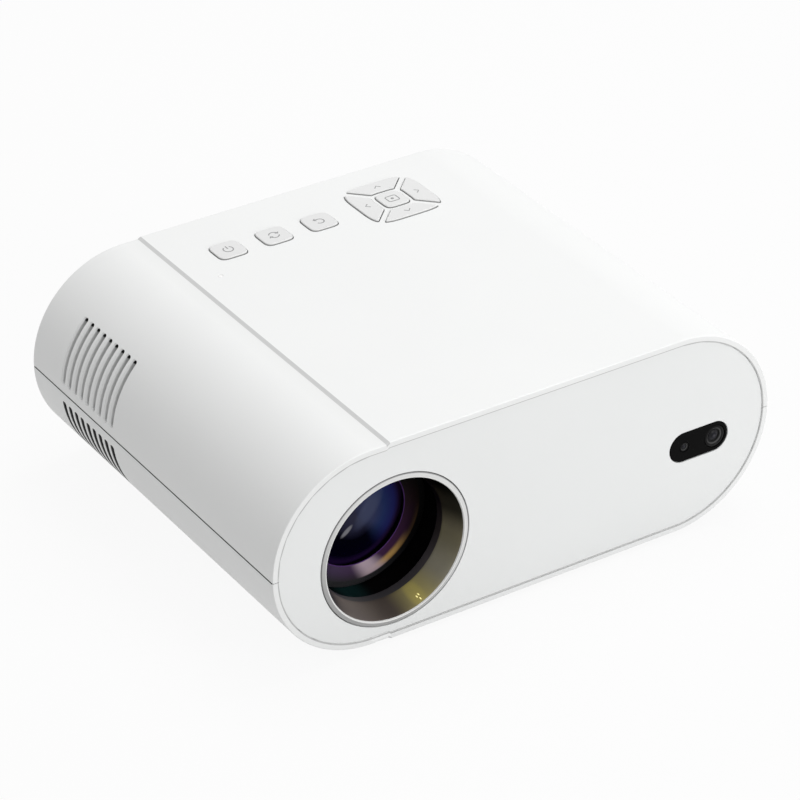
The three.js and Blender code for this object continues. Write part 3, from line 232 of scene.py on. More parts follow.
def round_ends():
    """Each round end's side, middle and radius."""
    case = values("case")
    return zip((-1, 1), end_middles(), (case.left_radius, case.right_radius))


# Meshes


def placed(data, name="form"):
    """A new object in the scene that shows a mesh, a lamp or a camera."""
    piece = bpy.data.objects.new(name, data)
    bpy.context.scene.collection.objects.link(piece)
    return piece


def mesh_of(points, faces):
    mesh = bpy.data.meshes.new("form")
    mesh.from_pydata([tuple(p) for p in points], [], faces)
    work = bmesh.new()
    work.from_mesh(mesh)
    bmesh.ops.remove_doubles(work, verts=work.verts, dist=WELD)
    bmesh.ops.recalc_face_normals(work, faces=work.faces)
    work.to_mesh(mesh)
    work.free()
    return mesh


def loft(rings, loop=False):
    """Faces between rings of equally many points, closed with a face at each end or back to the first."""
    n, last = len(rings[0]), len(rings) - 1
    faces = []
    for i in range(last + loop):
        a, b = i * n, (i + 1) % len(rings) * n
        faces += [(a + j, a + (j + 1) % n, b + (j + 1) % n, b + j) for j in range(n)]
    if not loop:
        faces += [tuple(range(n - 1, -1, -1)), tuple(last * n + j for j in range(n))]
    return placed(mesh_of([p for ring in rings for p in ring], faces))


AXES = {
    "x": lambda along, a, b: (along, a, b),
    "y": lambda along, a, b: (a, along, b),
    "z": lambda along, a, b: (a, b, along),
}


def sweep(outline, axis, stations):
    """A drawn outline pushed along an axis through (place, growth) stations."""
    return loft([[AXES[axis](place, *p) for p in outline(growth)] for place, growth in stations])


def turns(sides):
    """The cosine and sine of equal turns round a circle."""
    return [(math.cos(TURN * i / sides), math.sin(TURN * i / sides)) for i in range(sides)]


def lathe(profile, axis, centre, sides):
    """A closed profile of (radius, place along the axis) turned round an axis through the centre."""
    at = Vector(centre)
    at["xyz".index(axis)] = 0
    rings = [[Vector(AXES[axis](s, r * a, r * b)) + at for r, s in profile] for a, b in turns(sides)]
    return loft(rings, loop=True)


def rod(axis, centre, radius, start, end, sides=48, edge=0.0):
    """A round bar, its two ends at places along its axis, with its edges rounded off."""
    near = [(radius - edge + s, p) for s, p in quarter(edge, start, 1)]
    far = [(radius - edge + s, p) for s, p in reversed(quarter(edge, end, -1))]
    return lathe([(0, start), *near, *far, (0, end)], axis, centre, sides)


def quarter(radius, place, way, steps=4):
    """Points (growth, place) round a quarter circle, from the face at place out to the side."""
    if radius <= 0:
        return [(0, place)]
    bends = [math.pi / 2 * i / steps for i in range(steps + 1)]
    return [(radius * math.sin(a), place + way * radius * (1 - math.cos(a))) for a in bends]


def rounded(radius, place, way, steps=4):
    """Stations of a sweep from its rounded end at a place."""
    return [(p, s - radius) for s, p in quarter(radius, place, way, steps)]


def offsets(radius, place, *steps):
    """Points of a turned profile, by their distances from one point in millimetres."""
    return [(radius + out * MM, place + along * MM) for out, along in steps]


def circle(x, y, radius, sides=48):
    return lambda grow: [(x + (radius + grow) * a, y + (radius + grow) * b) for a, b in turns(sides)]


def stadium(x, y, reach, radius, steps=16):
    """An outline with two round ends, reach to each side of its middle."""
    bends = [math.pi * i / steps - math.pi / 2 for i in range(steps + 1)]
    return lambda grow: [
        (x + side * (reach + (radius + grow) * math.cos(a)), y + side * (radius + grow) * math.sin(a))
        for side in (1, -1)
        for a in bends
    ]


def block(x, y, width, height, corner=0.0, steps=5):
    """A rectangle with rounded corners, by its middle and size."""

    def outline(grow):
        radius = max(corner + grow, LEAST_CORNER)
        reach_x, reach_y = width / 2 + grow - radius, height / 2 + grow - radius
        return [
            (x + sx * reach_x + radius * math.cos(a), y + sy * reach_y + radius * math.sin(a))
            for k, (sx, sy) in enumerate(((1, 1), (-1, 1), (-1, -1), (1, -1)))
            for a in [math.pi / 2 * (k + i / steps) for i in range(steps + 1)]
        ]

    return outline


def grown(outline, more):
    """An outline set out by a further distance."""
    return lambda grow: outline(more + grow)


def worked(piece):
    """The piece with its modifiers worked into its mesh."""
    graph = bpy.context.evaluated_depsgraph_get()
    mesh = bpy.data.meshes.new_from_object(piece.evaluated_get(graph), depsgraph=graph)
    piece.modifiers.clear()
    piece.data = mesh
    return piece


def combine(piece, other, operation):
    """Adds, subtracts or intersects another solid, which is then removed."""
    change = piece.modifiers.new("combine", "BOOLEAN")
    change.operation = operation
    change.solver = "MANIFOLD"
    change.object = other
    worked(piece)
    bpy.data.objects.remove(other)
    return piece


def join(piece, other):
    return combine(piece, other, "UNION")


def cut(piece, other):
    return combine(piece, other, "DIFFERENCE")


def merged(meshes, weld=False):
    """Several meshes as one piece, their doubled points welded if asked."""
    work = bmesh.new()
    for mesh in meshes:
        work.from_mesh(mesh)
    if weld:
        bmesh.ops.remove_doubles(work, verts=work.verts, dist=WELD)
    mesh = bpy.data.meshes.new("form")
    work.to_mesh(mesh)
    work.free()
    return placed(mesh)


def gathered(pieces):
    """Several separate solids as one piece."""
    whole = merged([piece.data for piece in pieces])
    for piece in pieces:
        bpy.data.objects.remove(piece)
    return whole


def inner_part(node, room):
    """What a CAD node has inside a room."""
    return combine(merged([NODES[node].data], weld=True), room, "INTERSECT")


def finished(piece, name, slot, material, *nodes, body="case", sharp=30):
    """Names, smooths and paints a piece, and says what it rides on and stands for."""
    piece.name = name
    piece.data.name = name
    piece.data.shade_smooth()
    piece.data.set_sharp_from_angle(angle=math.radians(sharp))
    piece.modifiers.new("even", "WEIGHTED_NORMAL").keep_sharp = True
    worked(piece)
    piece.data.materials.clear()
    piece.data.materials.append(material)
    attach(piece, body)
    if nodes:
        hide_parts(*nodes)


# Materials


def maths(operation, swapped=False):
    """A method that joins its socket with another value, or works on it alone."""

    def method(self, other=0):
        first, second = (other, self) if swapped else (self, other)
        return self.net.node("ShaderNodeMath", {"operation": operation}, {0: first, 1: second})

    return method


class Flow:
    """A socket that takes part in sums."""

    def __init__(self, net, socket):
        self.net, self.socket = net, socket

    __add__ = __radd__ = maths("ADD")
    __mul__ = __rmul__ = maths("MULTIPLY")
    __sub__, __rsub__ = maths("SUBTRACT"), maths("SUBTRACT", swapped=True)
    __truediv__ = maths("DIVIDE")
    __pow__ = maths("POWER")
    __abs__ = maths("ABSOLUTE")
    sine = maths("SINE")
    most = maths("MAXIMUM")
    bearing = maths("ARCTAN2")

    def distance(self, other):
        """How far a point at this and another coordinate is from the middle."""
        return (self * self + other * other) ** 0.5

    def between(self, low, high):
        """0 below low, 1 above high and smooth between them."""
        sockets = {"Value": self, "From Min": low, "From Max": high}
        return self.net.node("ShaderNodeMapRange", {"interpolation_type": "SMOOTHSTEP"}, sockets)

    def within(self, start, full, fading, end):
        """0 up to start, 1 from full to fading and 0 again from end."""
        return self.between(start, full) * (1 - self.between(fading, end))

    def peak(self, middle, reach):
        """1 at a value, falling smoothly to 0 at a distance from it."""
        return 1 - abs(self - middle).between(0.1 * reach, reach)


class Net:
    """A node tree under construction."""

    def __init__(self, tree):
        self.tree = tree
        tree.nodes.clear()

    def raw(self, kind, sockets=None):
        """A new node, its sockets filled."""
        made = self.tree.nodes.new(kind)
        self.fill(made, sockets or {})
        return made

    def fill(self, node, sockets):
        for key, value in sockets.items():
            if isinstance(value, Flow):
                self.tree.links.new(value.socket, node.inputs[key])
            elif hasattr(value, "__len__") and len(value) == 3 and node.inputs[key].type == "RGBA":
                node.inputs[key].default_value = (*value, 1)
            else:
                node.inputs[key].default_value = value

    def node(self, kind, settings=None, sockets=None, output=0):
        """One output of a new node with its settings and sockets."""
        made = self.raw(kind)
        for key, value in (settings or {}).items():
            setattr(made, key, value)
        self.fill(made, sockets or {})
        return Flow(self, made.outputs[output])

    def outputs(self, kind, names, sockets=None):
        """Several outputs of one node."""
        made = self.raw(kind, sockets)
        return [Flow(self, made.outputs[name]) for name in names]

    def seen_rays(self):
        """1 for rays that should see plain white: the camera's, and those through or off the object."""
        kinds = ("Is Camera Ray", "Is Glossy Ray", "Is Transmission Ray")
        camera, glossy, through = self.outputs("ShaderNodeLightPath", kinds)
        return camera.most(glossy).most(through)


class Paint(Net):
    """A material under construction."""

    def __init__(self, name, **surface):
        self.material = bpy.data.materials.new(name)
        self.material.use_nodes = True
        super().__init__(self.material.node_tree)
        self.shader = self.raw("ShaderNodeBsdfPrincipled")
        self.surface = Flow(self, self.shader.outputs[0])
        self.out = self.raw("ShaderNodeOutputMaterial", {"Surface": self.surface})
        for socket, value in surface.items():
            self.set(socket.replace("_", " "), value)

    def set(self, socket, value):
        self.fill(self.shader, {socket: value})

    def place(self, centre=(0, 0, 0), turn=(0, 0, 0), scale=(1, 1, 1)):
        """Object coordinates, centred and turned for a pattern."""
        where = self.node("ShaderNodeTexCoord", output="Object")
        sockets = {"Vector": where, "Location": centre, "Rotation": turn, "Scale": scale}
        return self.node("ShaderNodeMapping", {"vector_type": "TEXTURE"}, sockets)

    def parts(self, centre=(0, 0, 0)):
        """The three object coordinates, from a centre."""
        return self.outputs("ShaderNodeSeparateXYZ", range(3), {0: self.place(centre)})

    def noise(self, scale, detail=2.0, rough=0.5, vector=None):
        sockets = {"Vector": vector or self.place(), "Scale": scale, "Detail": detail, "Roughness": rough}
        return self.node("ShaderNodeTexNoise", None, sockets)

    def blend(self, share, first, second):
        """A colour between two others."""
        return self.node("ShaderNodeMix", {"data_type": "RGBA"}, {0: share, 6: first, 7: second}, output=2)

    def times(self, first, second):
        """Two colours multiplied."""
        settings = {"data_type": "RGBA", "blend_type": "MULTIPLY"}
        return self.node("ShaderNodeMix", settings, {0: 1.0, 6: first, 7: second}, output=2)

    def turn(self, x, z):
        """The share of a turn round the lens, from the left through the bottom: 0.25 is the bottom."""
        return z.bearing(x) / TURN + 0.5

    def spot(self, x, z, centre, reach, tilt=0.0):
        """A soft oval patch, 1 in its middle, by its centre and reach in millimetres."""
        c, s = math.cos(tilt), math.sin(tilt)
        across, up = x - centre[0] * MM, z - centre[1] * MM
        a = (across * c + up * s) / (reach[0] * MM)
        b = (up * c - across * s) / (reach[1] * MM)
        return 1 - (a * a + b * b).between(0.1, 1.0)

    def ramp(self, value, stops, smooth="LINEAR"):
        """A colour by (place, colour) stops along a value."""
        made = self.node("ShaderNodeValToRGB", None, {"Fac": value})
        ramp = made.socket.node.color_ramp
        ramp.interpolation = smooth
        while len(ramp.elements) < len(stops):
            ramp.elements.new(0.5)
        for element, (place, tint) in zip(ramp.elements, stops):
            element.position, element.color = place, (*tint, 1)
        return made

    def bump(self, height, depth):
        """Relief of a height from 0 to 1 over a depth in metres."""
        self.set("Normal", self.node("ShaderNodeBump", None, {"Height": height, "Distance": depth}))

    def gloss(self, pattern, least, spread, depth=0.0):
        """Roughness that follows a pattern, and relief of the pattern over a depth in metres."""
        self.set("Roughness", least + spread * pattern)
        if depth:
            self.bump(pattern, depth)


def grey(level):
    return (level, level, level)


def around(tint, amount):
    """A slightly darker and a slightly lighter tint."""
    return [tuple(max(0, min(1, c * (1 + way * amount))) for c in tint) for way in (-1, 1)]


def moulded(name, tint, roughness, grain=0.02, scale=2600, spread=0.02, **surface):
    """Moulded plastic: fine grain, faint clouding and uneven gloss."""
    paint = Paint(name, **surface)
    paint.colour = paint.blend(paint.noise(18, 3).between(0.3, 0.7), *around(tint, spread))
    paint.set("Base Color", paint.colour)
    paint.gloss(paint.noise(60, 2), roughness - 0.04, 0.08)
    paint.bump(paint.noise(scale, 2, 0.6), grain * MM)
    return paint


def metal(name, tint, roughness, grain=0.004, stretch=(1, 1, 1), scale=900):
    """Bare metal with fine marks, drawn out along the way it was worked."""
    paint = Paint(name, Metallic=1.0)
    marks = paint.noise(scale, 4, 0.7, paint.place(scale=stretch))
    paint.set("Base Color", paint.blend(marks.between(0.25, 0.75), *around(tint, 0.08)))
    paint.gloss(marks, roughness - 0.08, 0.16, grain * MM)
    return paint


def clear(name, tint, roughness=0.02):
    """Clear glass or acrylic with a faint tint."""
    paint = Paint(name, Transmission_Weight=1.0, IOR=1.5)
    haze = paint.noise(40, 2)
    paint.set("Base Color", paint.blend(haze, *around(tint, 0.03)))
    paint.gloss(haze, roughness, 0.02)
    return paint


def circuit_board(name, tint):
    """Solder mask over copper tracks, with small bare pads."""
    paint = Paint(name, Coat_Weight=0.3, Coat_Roughness=0.15)
    tracks = paint.node(
        "ShaderNodeTexBrick",
        {"offset": 0.35, "squash": 1.6},
        {"Vector": paint.place(), "Scale": 180, "Mortar Size": 0.035, "Bias": -0.2},
        output="Fac",
    )
    pads = paint.node("ShaderNodeTexVoronoi", None, {"Vector": paint.place(), "Scale": 420})
    mask = paint.blend(tracks, tint, tuple(min(1, 1.9 * c + 0.01) for c in tint))
    paint.set("Base Color", paint.blend(pads.between(0.12, 0.16), (0.55, 0.5, 0.36), mask))
    paint.gloss(paint.noise(500, 2), 0.32, 0.12)
    paint.bump(tracks, 0.03 * MM)
    return paint


# The case


def round_in(distance, radius):
    """How far a rounded edge has drawn back at a distance from the edge."""
    if distance >= radius:
        return 0.0
    return radius - math.sqrt(max(radius * radius - (radius - distance) ** 2, 0))


def half_outline(way, inset, gap, edge=0.0):
    """One half of the case section, from the seam on the left over to the seam on the right."""
    case = values("case")
    left_x, right_x = end_middles()
    left, right = case.left_radius - inset, case.right_radius - inset
    low_x = left_x + case.step_place
    steps = case.smoothness
    rises = [edge * i / 4 for i in range(4)] if edge else []

    def arc(radius):
        start = math.asin((gap + edge) / radius)
        near = [(math.asin((gap + rise) / radius), round_in(rise, edge)) for rise in rises]
        far = [(start + (math.pi / 2 - start) * i / steps, 0) for i in range(steps + 1)]
        return [((radius - back) * math.cos(a), radius * math.sin(a)) for a, back in near + far]

    left_arc, right_arc = arc(left), arc(right)
    points = [(left_x - x, z) for x, z in left_arc]
    points += [(low_x, left), (low_x + case.step_width, right)]
    points += [(right_x + x, z) for x, z in reversed(right_arc)]
    return [(x, middle_height() + way * z) for x, z in points]


def case_outline(inset):
    """The whole case section moved in by an inset, as an outline of its growth."""

    def outline(grow):
        upper = half_outline(1, inset - grow, 0)
        lower = half_outline(-1, inset - grow, 0)
        return upper + lower[-2:0:-1]

    return outline


def skin(way):
    """One half of the case wall with its rims and seam edges rounded."""
    case = values("case")
    gap = case.seam / 2
    stations = rounded(case.rim_round, front(), 1) + rounded(case.rim_round, rear(), -1)[::-1]
    columns = [half_outline(way, -growth, gap, case.seam_round) for _, growth in stations]
    inner = half_outline(way, case.wall, gap, case.seam_round)
    rings = []
    for t, (x, z) in enumerate(inner):
        outer = [(column[t][0], y, column[t][1]) for column, (y, _) in zip(columns, stations)]
        rings.append([*outer, (x, rear(), z), (x, front(), z)])
    return loft(rings)


def ring_on_end(side, x, way, a, spots):
    """Points at an angle round one end, by their radius and their place along the case."""
    return [(x + side * r * math.cos(a), y, middle_height() + way * r * math.sin(a)) for r, y in spots]


def inner_features(node):
    """The bosses, posts and ledges that the CAD shell has inside its wall."""
    case = values("case")
    room = sweep(case_outline(case.wall - 0.1 * MM), "y", [(front(), 0), (rear(), 0)])
    return inner_part(node, room)


def vent_cutters(way):
    """Cutters of the first slot of a row on both round ends, which run through the wall."""
    case, vents = values("case"), values("vents")
    start = vents.upper_start if way > 0 else vents.lower_start
    lead = vents.upper_lead if way > 0 else vents.lower_lead
    y = vents.place - (vents.number - 1) / 2 * vents.pitch
    reach, over, steps = vents.width / 2, 1 * MM, 40
    cutters = []
    for side, x, radius in round_ends():
        length = radius * (vents.end - start)
        rings = []
        for i in range(steps + 1):
            along = length * (1 - math.cos(math.pi * i / steps)) / 2
            past_end = max(reach - min(along, length - along), 0)
            half = math.sqrt(max(reach * reach - past_end * past_end, LEAST_SLOT**2))
            profile = [(-half - lead - over, -over), (-half, lead), (-half, 2 * case.wall)]
            profile += [(-across, down) for across, down in reversed(profile)]
            spots = [(radius - down, y + across) for across, down in profile]
            rings.append(ring_on_end(side, x, way, start + along / radius, spots))
        cutters.append(loft(rings))
    return gathered(cutters)


REPEAT_INPUTS = {
    "Geometry": "Geometry",
    "Cutter": "Object",
    "Count": "Int",
    "Step": "Vector",
    "Finish": "Material",
}


def repeat_cut_tree():
    """Geometry nodes that cut a form out of a body again and again along a line."""
    tree = bpy.data.node_groups.new("Repeat Cut", "GeometryNodeTree")
    for name, kind in REPEAT_INPUTS.items():
        tree.interface.new_socket(name, in_out="INPUT", socket_type="NodeSocket" + kind)
    tree.interface.new_socket("Geometry", in_out="OUTPUT", socket_type="NodeSocketGeometry")
    net = Net(tree)
    body, cutter, number, step, finish = net.outputs("NodeGroupInput", REPEAT_INPUTS)
    line = net.node("GeometryNodeMeshLine", {"mode": "OFFSET"}, {"Count": number, "Offset": step})
    form = net.node("GeometryNodeObjectInfo", None, {"Object": cutter}, output="Geometry")
    copies = net.node("GeometryNodeInstanceOnPoints", None, {"Points": line, "Instance": form})
    solid = net.node("GeometryNodeRealizeInstances", None, {0: copies})
    settings = {"operation": "DIFFERENCE", "solver": "MANIFOLD"}
    taken = net.node("GeometryNodeMeshBoolean", settings, {"Mesh 1": body, "Mesh 2": solid})
    real = net.node("GeometryNodeRealizeInstances", None, {0: taken})
    painted = net.node("GeometryNodeSetMaterial", None, {"Geometry": real, "Material": finish})
    net.raw("NodeGroupOutput", {0: painted})
    return tree


def repeat_cut(piece, cutter, number, step, material):
    """Runs the repeat cut tree on a piece."""
    tree = bpy.data.node_groups.get("Repeat Cut") or repeat_cut_tree()
    change = piece.modifiers.new("repeat", "NODES")
    change.node_group = tree
    given = {"Cutter": cutter, "Count": number, "Step": step, "Finish": material}
    for item in tree.interface.items_tree:
        if item.in_out == "INPUT" and item.name in given:
            change[item.identifier] = given[item.name]
    worked(piece)
    bpy.data.objects.remove(cutter)
    return piece


def soft_point(width, depth, turn):
    bend = 2 / values("keys").power
    c, s = math.cos(turn), math.sin(turn)
    return width / 2 * math.copysign(abs(c) ** bend, c), depth / 2 * math.copysign(abs(s) ** bend, s)


def soft_square(x, y, width, depth, steps=72):
    """The outline of a square key."""
    return lambda grow: [
        (x + a, y + b)
        for a, b in (soft_point(width + 2 * grow, depth + 2 * grow, TURN * i / steps) for i in range(steps))
    ]


def point_along(run, distance):
    """The point a distance along a path."""
    for a, b in zip(run, run[1:]):
        gap = (b - a).length
        if distance <= gap:
            break
        distance -= gap
    return a.lerp(b, min(distance / gap, 1))


def corners_rounded(runs, radius, steps=5, pieces=30):
    """A closed outline of paths from corner to corner, with its corners drawn as small curves."""
    drawn = []
    trimmed = []
    for run in runs:
        length = sum((b - a).length for a, b in zip(run, run[1:]))
        reach = length - 2 * radius
        trimmed.append([point_along(run, radius + reach * i / pieces) for i in range(pieces + 1)])
    for i, run in enumerate(trimmed):
        drawn += run
        corner, following = runs[i][-1], trimmed[(i + 1) % len(runs)][0]
        for s in range(1, steps):
            t = s / steps
            drawn.append(run[-1].lerp(corner, t).lerp(corner.lerp(following, t), t))
    return drawn


def pad_outline(turn, steps=40):
    """The outline of one direction key, a quarter of the pad between two diagonal ribs."""
    keys, centre = values("keys"), middle("ok_key")
    sizes = (keys.pad_width, keys.pad_depth), (keys.hole_width, keys.hole_depth)
    outer, inner = (size[::-1] if turn % 2 else size for size in sizes)

    def arc(width, depth, offset):
        """One side of a soft square, between the ribs' edges."""
        low, high = 0, math.pi / 2
        for _ in range(50):
            half = (low + high) / 2
            x, y = soft_point(width, depth, half)
            low, high = (low, half) if y - x > offset else (half, high)
        bends = [high + (math.pi - 2 * high) * i / steps for i in range(steps + 1)]
        return [Vector(soft_point(width, depth, a)) for a in bends]

    def outline(grow):
        offset = (keys.rib - 2 * grow) / math.sqrt(2)
        far = arc(outer[0] + 2 * grow, outer[1] + 2 * grow, offset)
        near = arc(inner[0] - 2 * grow, inner[1] - 2 * grow, offset)[::-1]
        runs = (far, [far[-1], near[0]], near, [near[-1], far[0]])
        points = corners_rounded(runs, max(keys.corner + grow, 0.1 * MM))
        c, s = math.cos(-turn * math.pi / 2), math.sin(-turn * math.pi / 2)
        return [(centre.x + x * c - y * s, centre.y + x * s + y * c) for x, y in points]

    return outline


def key_outlines():
    """Each key's outline, by its node."""
    outlines = {}
    for name in ("power_key", "source_key", "back_key", "ok_key"):
        low, high, centre, _ = extent(name)
        width, depth = high.x - low.x - 2 * KEY_FLANGE, high.y - low.y - 2 * KEY_FLANGE
        outlines[name] = soft_square(centre.x, centre.y, width, depth)
    return outlines | {name: pad_outline(turn) for turn, name in enumerate(DIRECTION_KEYS)}


def key_openings():
    """Cutters for the keys and the status light, with a small lead-in at the top."""
    case, top, lead = values("case"), case_top(), 0.14 * MM
    low = top - case.wall - 1 * MM
    cutters = []
    openings = [(outline, case.fit) for outline in key_outlines().values()]
    for outline, fit in [*openings, (light_outline(), 0.03 * MM)]:
        stations = [(low, fit), (top - lead, fit), (top + 1 * MM, fit + lead + 1 * MM)]
        cutters.append(sweep(outline, "z", stations))
    return cutters


def light_outline():
    centre = middle("status_light")
    return circle(centre.x, centre.y, LIGHT_RADIUS)


def build_shells():
    vents, tint = values("vents"), values("finishes").shell
    for way, name in ((1, "upper_shell"), (-1, "lower_shell")):
        shell = join(skin(way), inner_features(name))
        for cutter in key_openings() if way > 0 else [gathered(underside_cutters())]:
            cut(shell, cutter)
        material = shell_paint(name + "_white", tint, way).material
        repeat_cut(shell, vent_cutters(way), vents.number, (0, vents.pitch, 0), material)
        finished(shell, name + "_skin", "shell", material, name, sharp=24)


def section_depth(paint, x, z):
    """How far a point of a surface lies inside the outline of the case."""
    case = values("case")
    left_x, right_x = end_middles()
    along = paint.node("ShaderNodeClamp", None, {"Value": x, "Min": left_x, "Max": right_x})
    out, up = x - along, z - middle_height()
    step_x = left_x + case.step_place
    rise = case.right_radius - case.left_radius
    surface = case.left_radius + rise * x.between(step_x, step_x + case.step_width)
    return out, up, surface - (out * out + up * up) ** 0.5


def shell_paint(name, tint, way):
    """Satin white that darkens down the walls of the slots, the seam, the step and the openings."""
    case, vents = values("case"), values("vents")
    wall, near, far = case.wall, front(), rear()
    paint = moulded(name, tint, 0.42, 0.006, 3200, 0.006, Specular_IOR_Level=0.35)
    x, y, z = paint.parts()
    out, up, depth = section_depth(paint, x, z)
    step_x = end_middles()[0] + case.step_place
    step_end = step_x + case.step_width
    # Painted shade: grey across the slope of the step.
    slope = x.within(step_x - 0.1 * MM, step_x, step_end, step_end + 0.1 * MM)
    slope = slope * (1 - depth.between(0.7 * MM, 0.9 * MM))
    # Painted shade line: grey on the inner edge of the front rim, along the gap round the panel.
    rim = depth.between(wall - 0.34 * MM, wall - 0.24 * MM)
    rim = rim * (1 - y.between(near + 0.2 * MM, near + 0.3 * MM))
    # The painted shade in the slots, the seam and the openings stays clear of the rims.
    inside = y.within(near + 0.4 * MM, near + 0.6 * MM, far - 0.6 * MM, far - 0.4 * MM)
    height = abs(up)
    # Painted shade: a dark line along the seam.
    seam = (1 - height.between(0.3 * MM, 0.4 * MM)) * 0.85
    turn = height.bearing(abs(out))
    cap = 0.55 * vents.width / case.left_radius
    vent_band = 1 - turn.between(vents.end + cap, vents.end + 2 * cap)
    if way > 0:
        # Painted shade in the upper slots: a black dot at each top end, light shade on the walls near the
        # lower ends, and black deep in the wall.
        top_end_shade = turn.between(vents.end - 1.7 * cap, vents.end - 1.1 * cap) * vent_band
        low_end = 1 - turn.between(vents.upper_start + cap, vents.upper_start + 4 * cap)
        shade = 0.13 * low_end * depth.between(0.3 * MM, 1.2 * MM)
        dark = shade.most(top_end_shade * depth.between(0.5 * MM, 0.7 * MM)).most(seam)
        dark = dark.most(depth.between(2.2 * MM, 2.5 * MM))
    else:
        # Painted shade: the lower slots are black from just under the surface.
        dark = (depth.between(0.04 * MM, 0.12 * MM) * vent_band).most(seam)
    # No painted shade on the walls of the gap round the front panel.
    near_panel = 1 - y.between(near + 3 * MM, near + 3.2 * MM)
    dark = dark * (1 - near_panel * depth.between(wall - 0.2 * MM, wall - 0.1 * MM))
    # The base colour takes the painted shade of the step, the rim line, the slots, the seam and the openings.
    plain = paint.blend(slope, paint.colour, (0.56, 0.563, 0.56))
    plain = paint.blend(rim, plain, (0.5, 0.502, 0.5))
    paint.set("Base Color", paint.blend(dark * inside, plain, (0.012, 0.012, 0.013)))
    return paint


def build_shade_screens():
    """Thin dark dust screens that line the case behind the vents."""
    case, vents = values("case"), values("vents")
    half = vents.number / 2 * vents.pitch
    near, far = vents.place - half, vents.place + half
    thread, thick, steps = 0.12 * MM, 0.3 * MM, 24
    margin, spare = 0.02, 0.07  # radians that the screens reach past the slots
    # Near-black weave: the shade inside the case, put in as a dark sheet.
    paint = Paint("shade_mesh", Specular_IOR_Level=0.1)
    _, y, z = paint.parts()
    weave = (y / thread).sine() * (z / thread).sine()
    paint.set("Base Color", paint.blend(weave.between(-0.6, 0.9), grey(0.004), (0.02, 0.02, 0.021)))
    paint.gloss(weave, 0.7, 0.1)
    for way, name, start in ((1, "upper", vents.upper_start), (-1, "lower", vents.lower_start)):
        bends = [start - margin + (vents.end - start + spare) * i / steps for i in range(steps + 1)]
        sheets = []
        for side, x, radius in round_ends():
            r = radius - case.wall
            spots = [(r, near), (r, far), (r - thick, far), (r - thick, near)]
            sheets.append(loft([ring_on_end(side, x, way, a, spots) for a in bends]))
        finished(gathered(sheets), name + "_dust_screen", "black_plastic", paint.material)


def underside_cutters():
    """Recesses for the feet, the screws and the tripod insert."""
    case = values("case")
    bottom = middle_height() - case.right_radius

    def recess(node, head=0.0, sides=96):
        low, high, centre, radius = extent(node)
        start, end = (8 * MM, low.z + head) if head else (1 * MM, high.z + case.fit)
        return rod("z", centre, radius + case.fit, bottom - start, end, sides)

    cutters = []
    for i in range(1, 5):
        cutters += [recess(f"foot_{i}"), recess(f"case_screw_{i}", 1.6 * MM, 40)]
    return [*cutters, recess("tripod_insert")]


# Panels


def panel_inset():
    """How far inside the outline of the case the panels end."""
    return values("case").wall + 0.6 * values("case").fit


def inward(face, back):
    """The way along Y from the face of a panel to its back."""
    return 1 if back > face else -1


def panel_plate(face, back):
    """A plate that fills the case section inside its rims."""
    stations = [*rounded(0.2 * MM, face, inward(face, back)), (back, 0)]
    return sweep(case_outline(panel_inset()), "y", stations)


def opening(outline, face, back, lead=0.12 * MM):
    """A cutter through a panel, with its front edge eased."""
    way = inward(face, back)
    return sweep(outline, "y", [(back + way * MM, 0), (face + way * lead, 0), (face - way * MM, lead + MM)])


def window_outline():
    x, _, width, height = from_behind("sensor_window")
    radius = height / 2 - WINDOW_FLANGE
    return stadium(x, middle("camera_module").z, width / 2 - WINDOW_FLANGE - radius, radius, 28)


def panel_paint(name, tint, roughness, grain, face, back):
    """Fine white plastic with a grey edge, so that the gap round it reads as a line."""
    paint = moulded(name, tint, roughness, grain, 3000, 0.006, Specular_IOR_Level=0.35)
    x, y, z = paint.parts()
    depth, start = section_depth(paint, x, z)[2], panel_inset()
    # Painted shade line: grey on the face along the panel's edge.
    edge = 1 - depth.between(start + 0.12 * MM, start + 0.2 * MM)
    in_face = 1 - ((y - face) * inward(face, back)).between(0.3 * MM, 0.5 * MM)
    paint.set("Base Color", paint.blend(edge * in_face, paint.colour, (0.66, 0.664, 0.66)))
    return paint


def build_front_panel():
    case, lens, tints = values("case"), values("lens"), values("finishes")
    face, back = front() + case.recess, front() + case.recess + case.panel
    material = panel_paint("smooth_white", tints.panel, 0.4, 0.004, face, back).material
    behind = sweep(block(0, middle_height(), 400 * MM, 200 * MM), "y", [(back - 0.1 * MM, 0), (0, 0)])
    panel = join(panel_plate(face, back), inner_part("front_panel", behind))
    centre = middle("lens_ring")
    round_hole = circle(centre.x, centre.z, lens.ring + case.fit, lens.sides)
    for hole in (round_hole, grown(window_outline(), case.fit)):
        cut(panel, opening(hole, face, back))
    finished(panel, "front_panel_face", "panel", material, "front_panel", sharp=24)


def socket_outline(node):
    """The outline of a socket's mouth in the rear panel."""
    x, z, width, height = from_behind(node)
    fit = values("case").fit
    return block(x, z, width + 2 * fit, height + 2 * fit, 0.5 * MM)


USB = (0.7, 0.9, 1.9, 4, 3.5)
SOCKETS = {
    # thickness of the shell, lift and thickness of the tongue in millimetres, contacts, pitches over them
    "hdmi_socket": (0.5, 0.35, 1.1, 9, 9),
    "usb_socket_1": USB,
    "usb_socket_2": USB,
}


def build_rear_panel():
    case, tints = values("case"), values("finishes")
    face, back = rear() - case.recess, rear() - case.recess - case.panel
    material = panel_paint("rear_white", tints.panel, 0.46, 0.012, face, back).material
    panel = panel_plate(face, back)
    holes = [socket_outline(node) for node in (*SOCKETS, "audio_jack")]
    for hole in [*holes, grown(inlet_outline(), case.fit)]:
        cut(panel, opening(hole, face, back))
    cut(panel, grille_cutter(face, back, material))
    finished(panel, "rear_panel_face", "panel", material, "rear_panel", sharp=24)


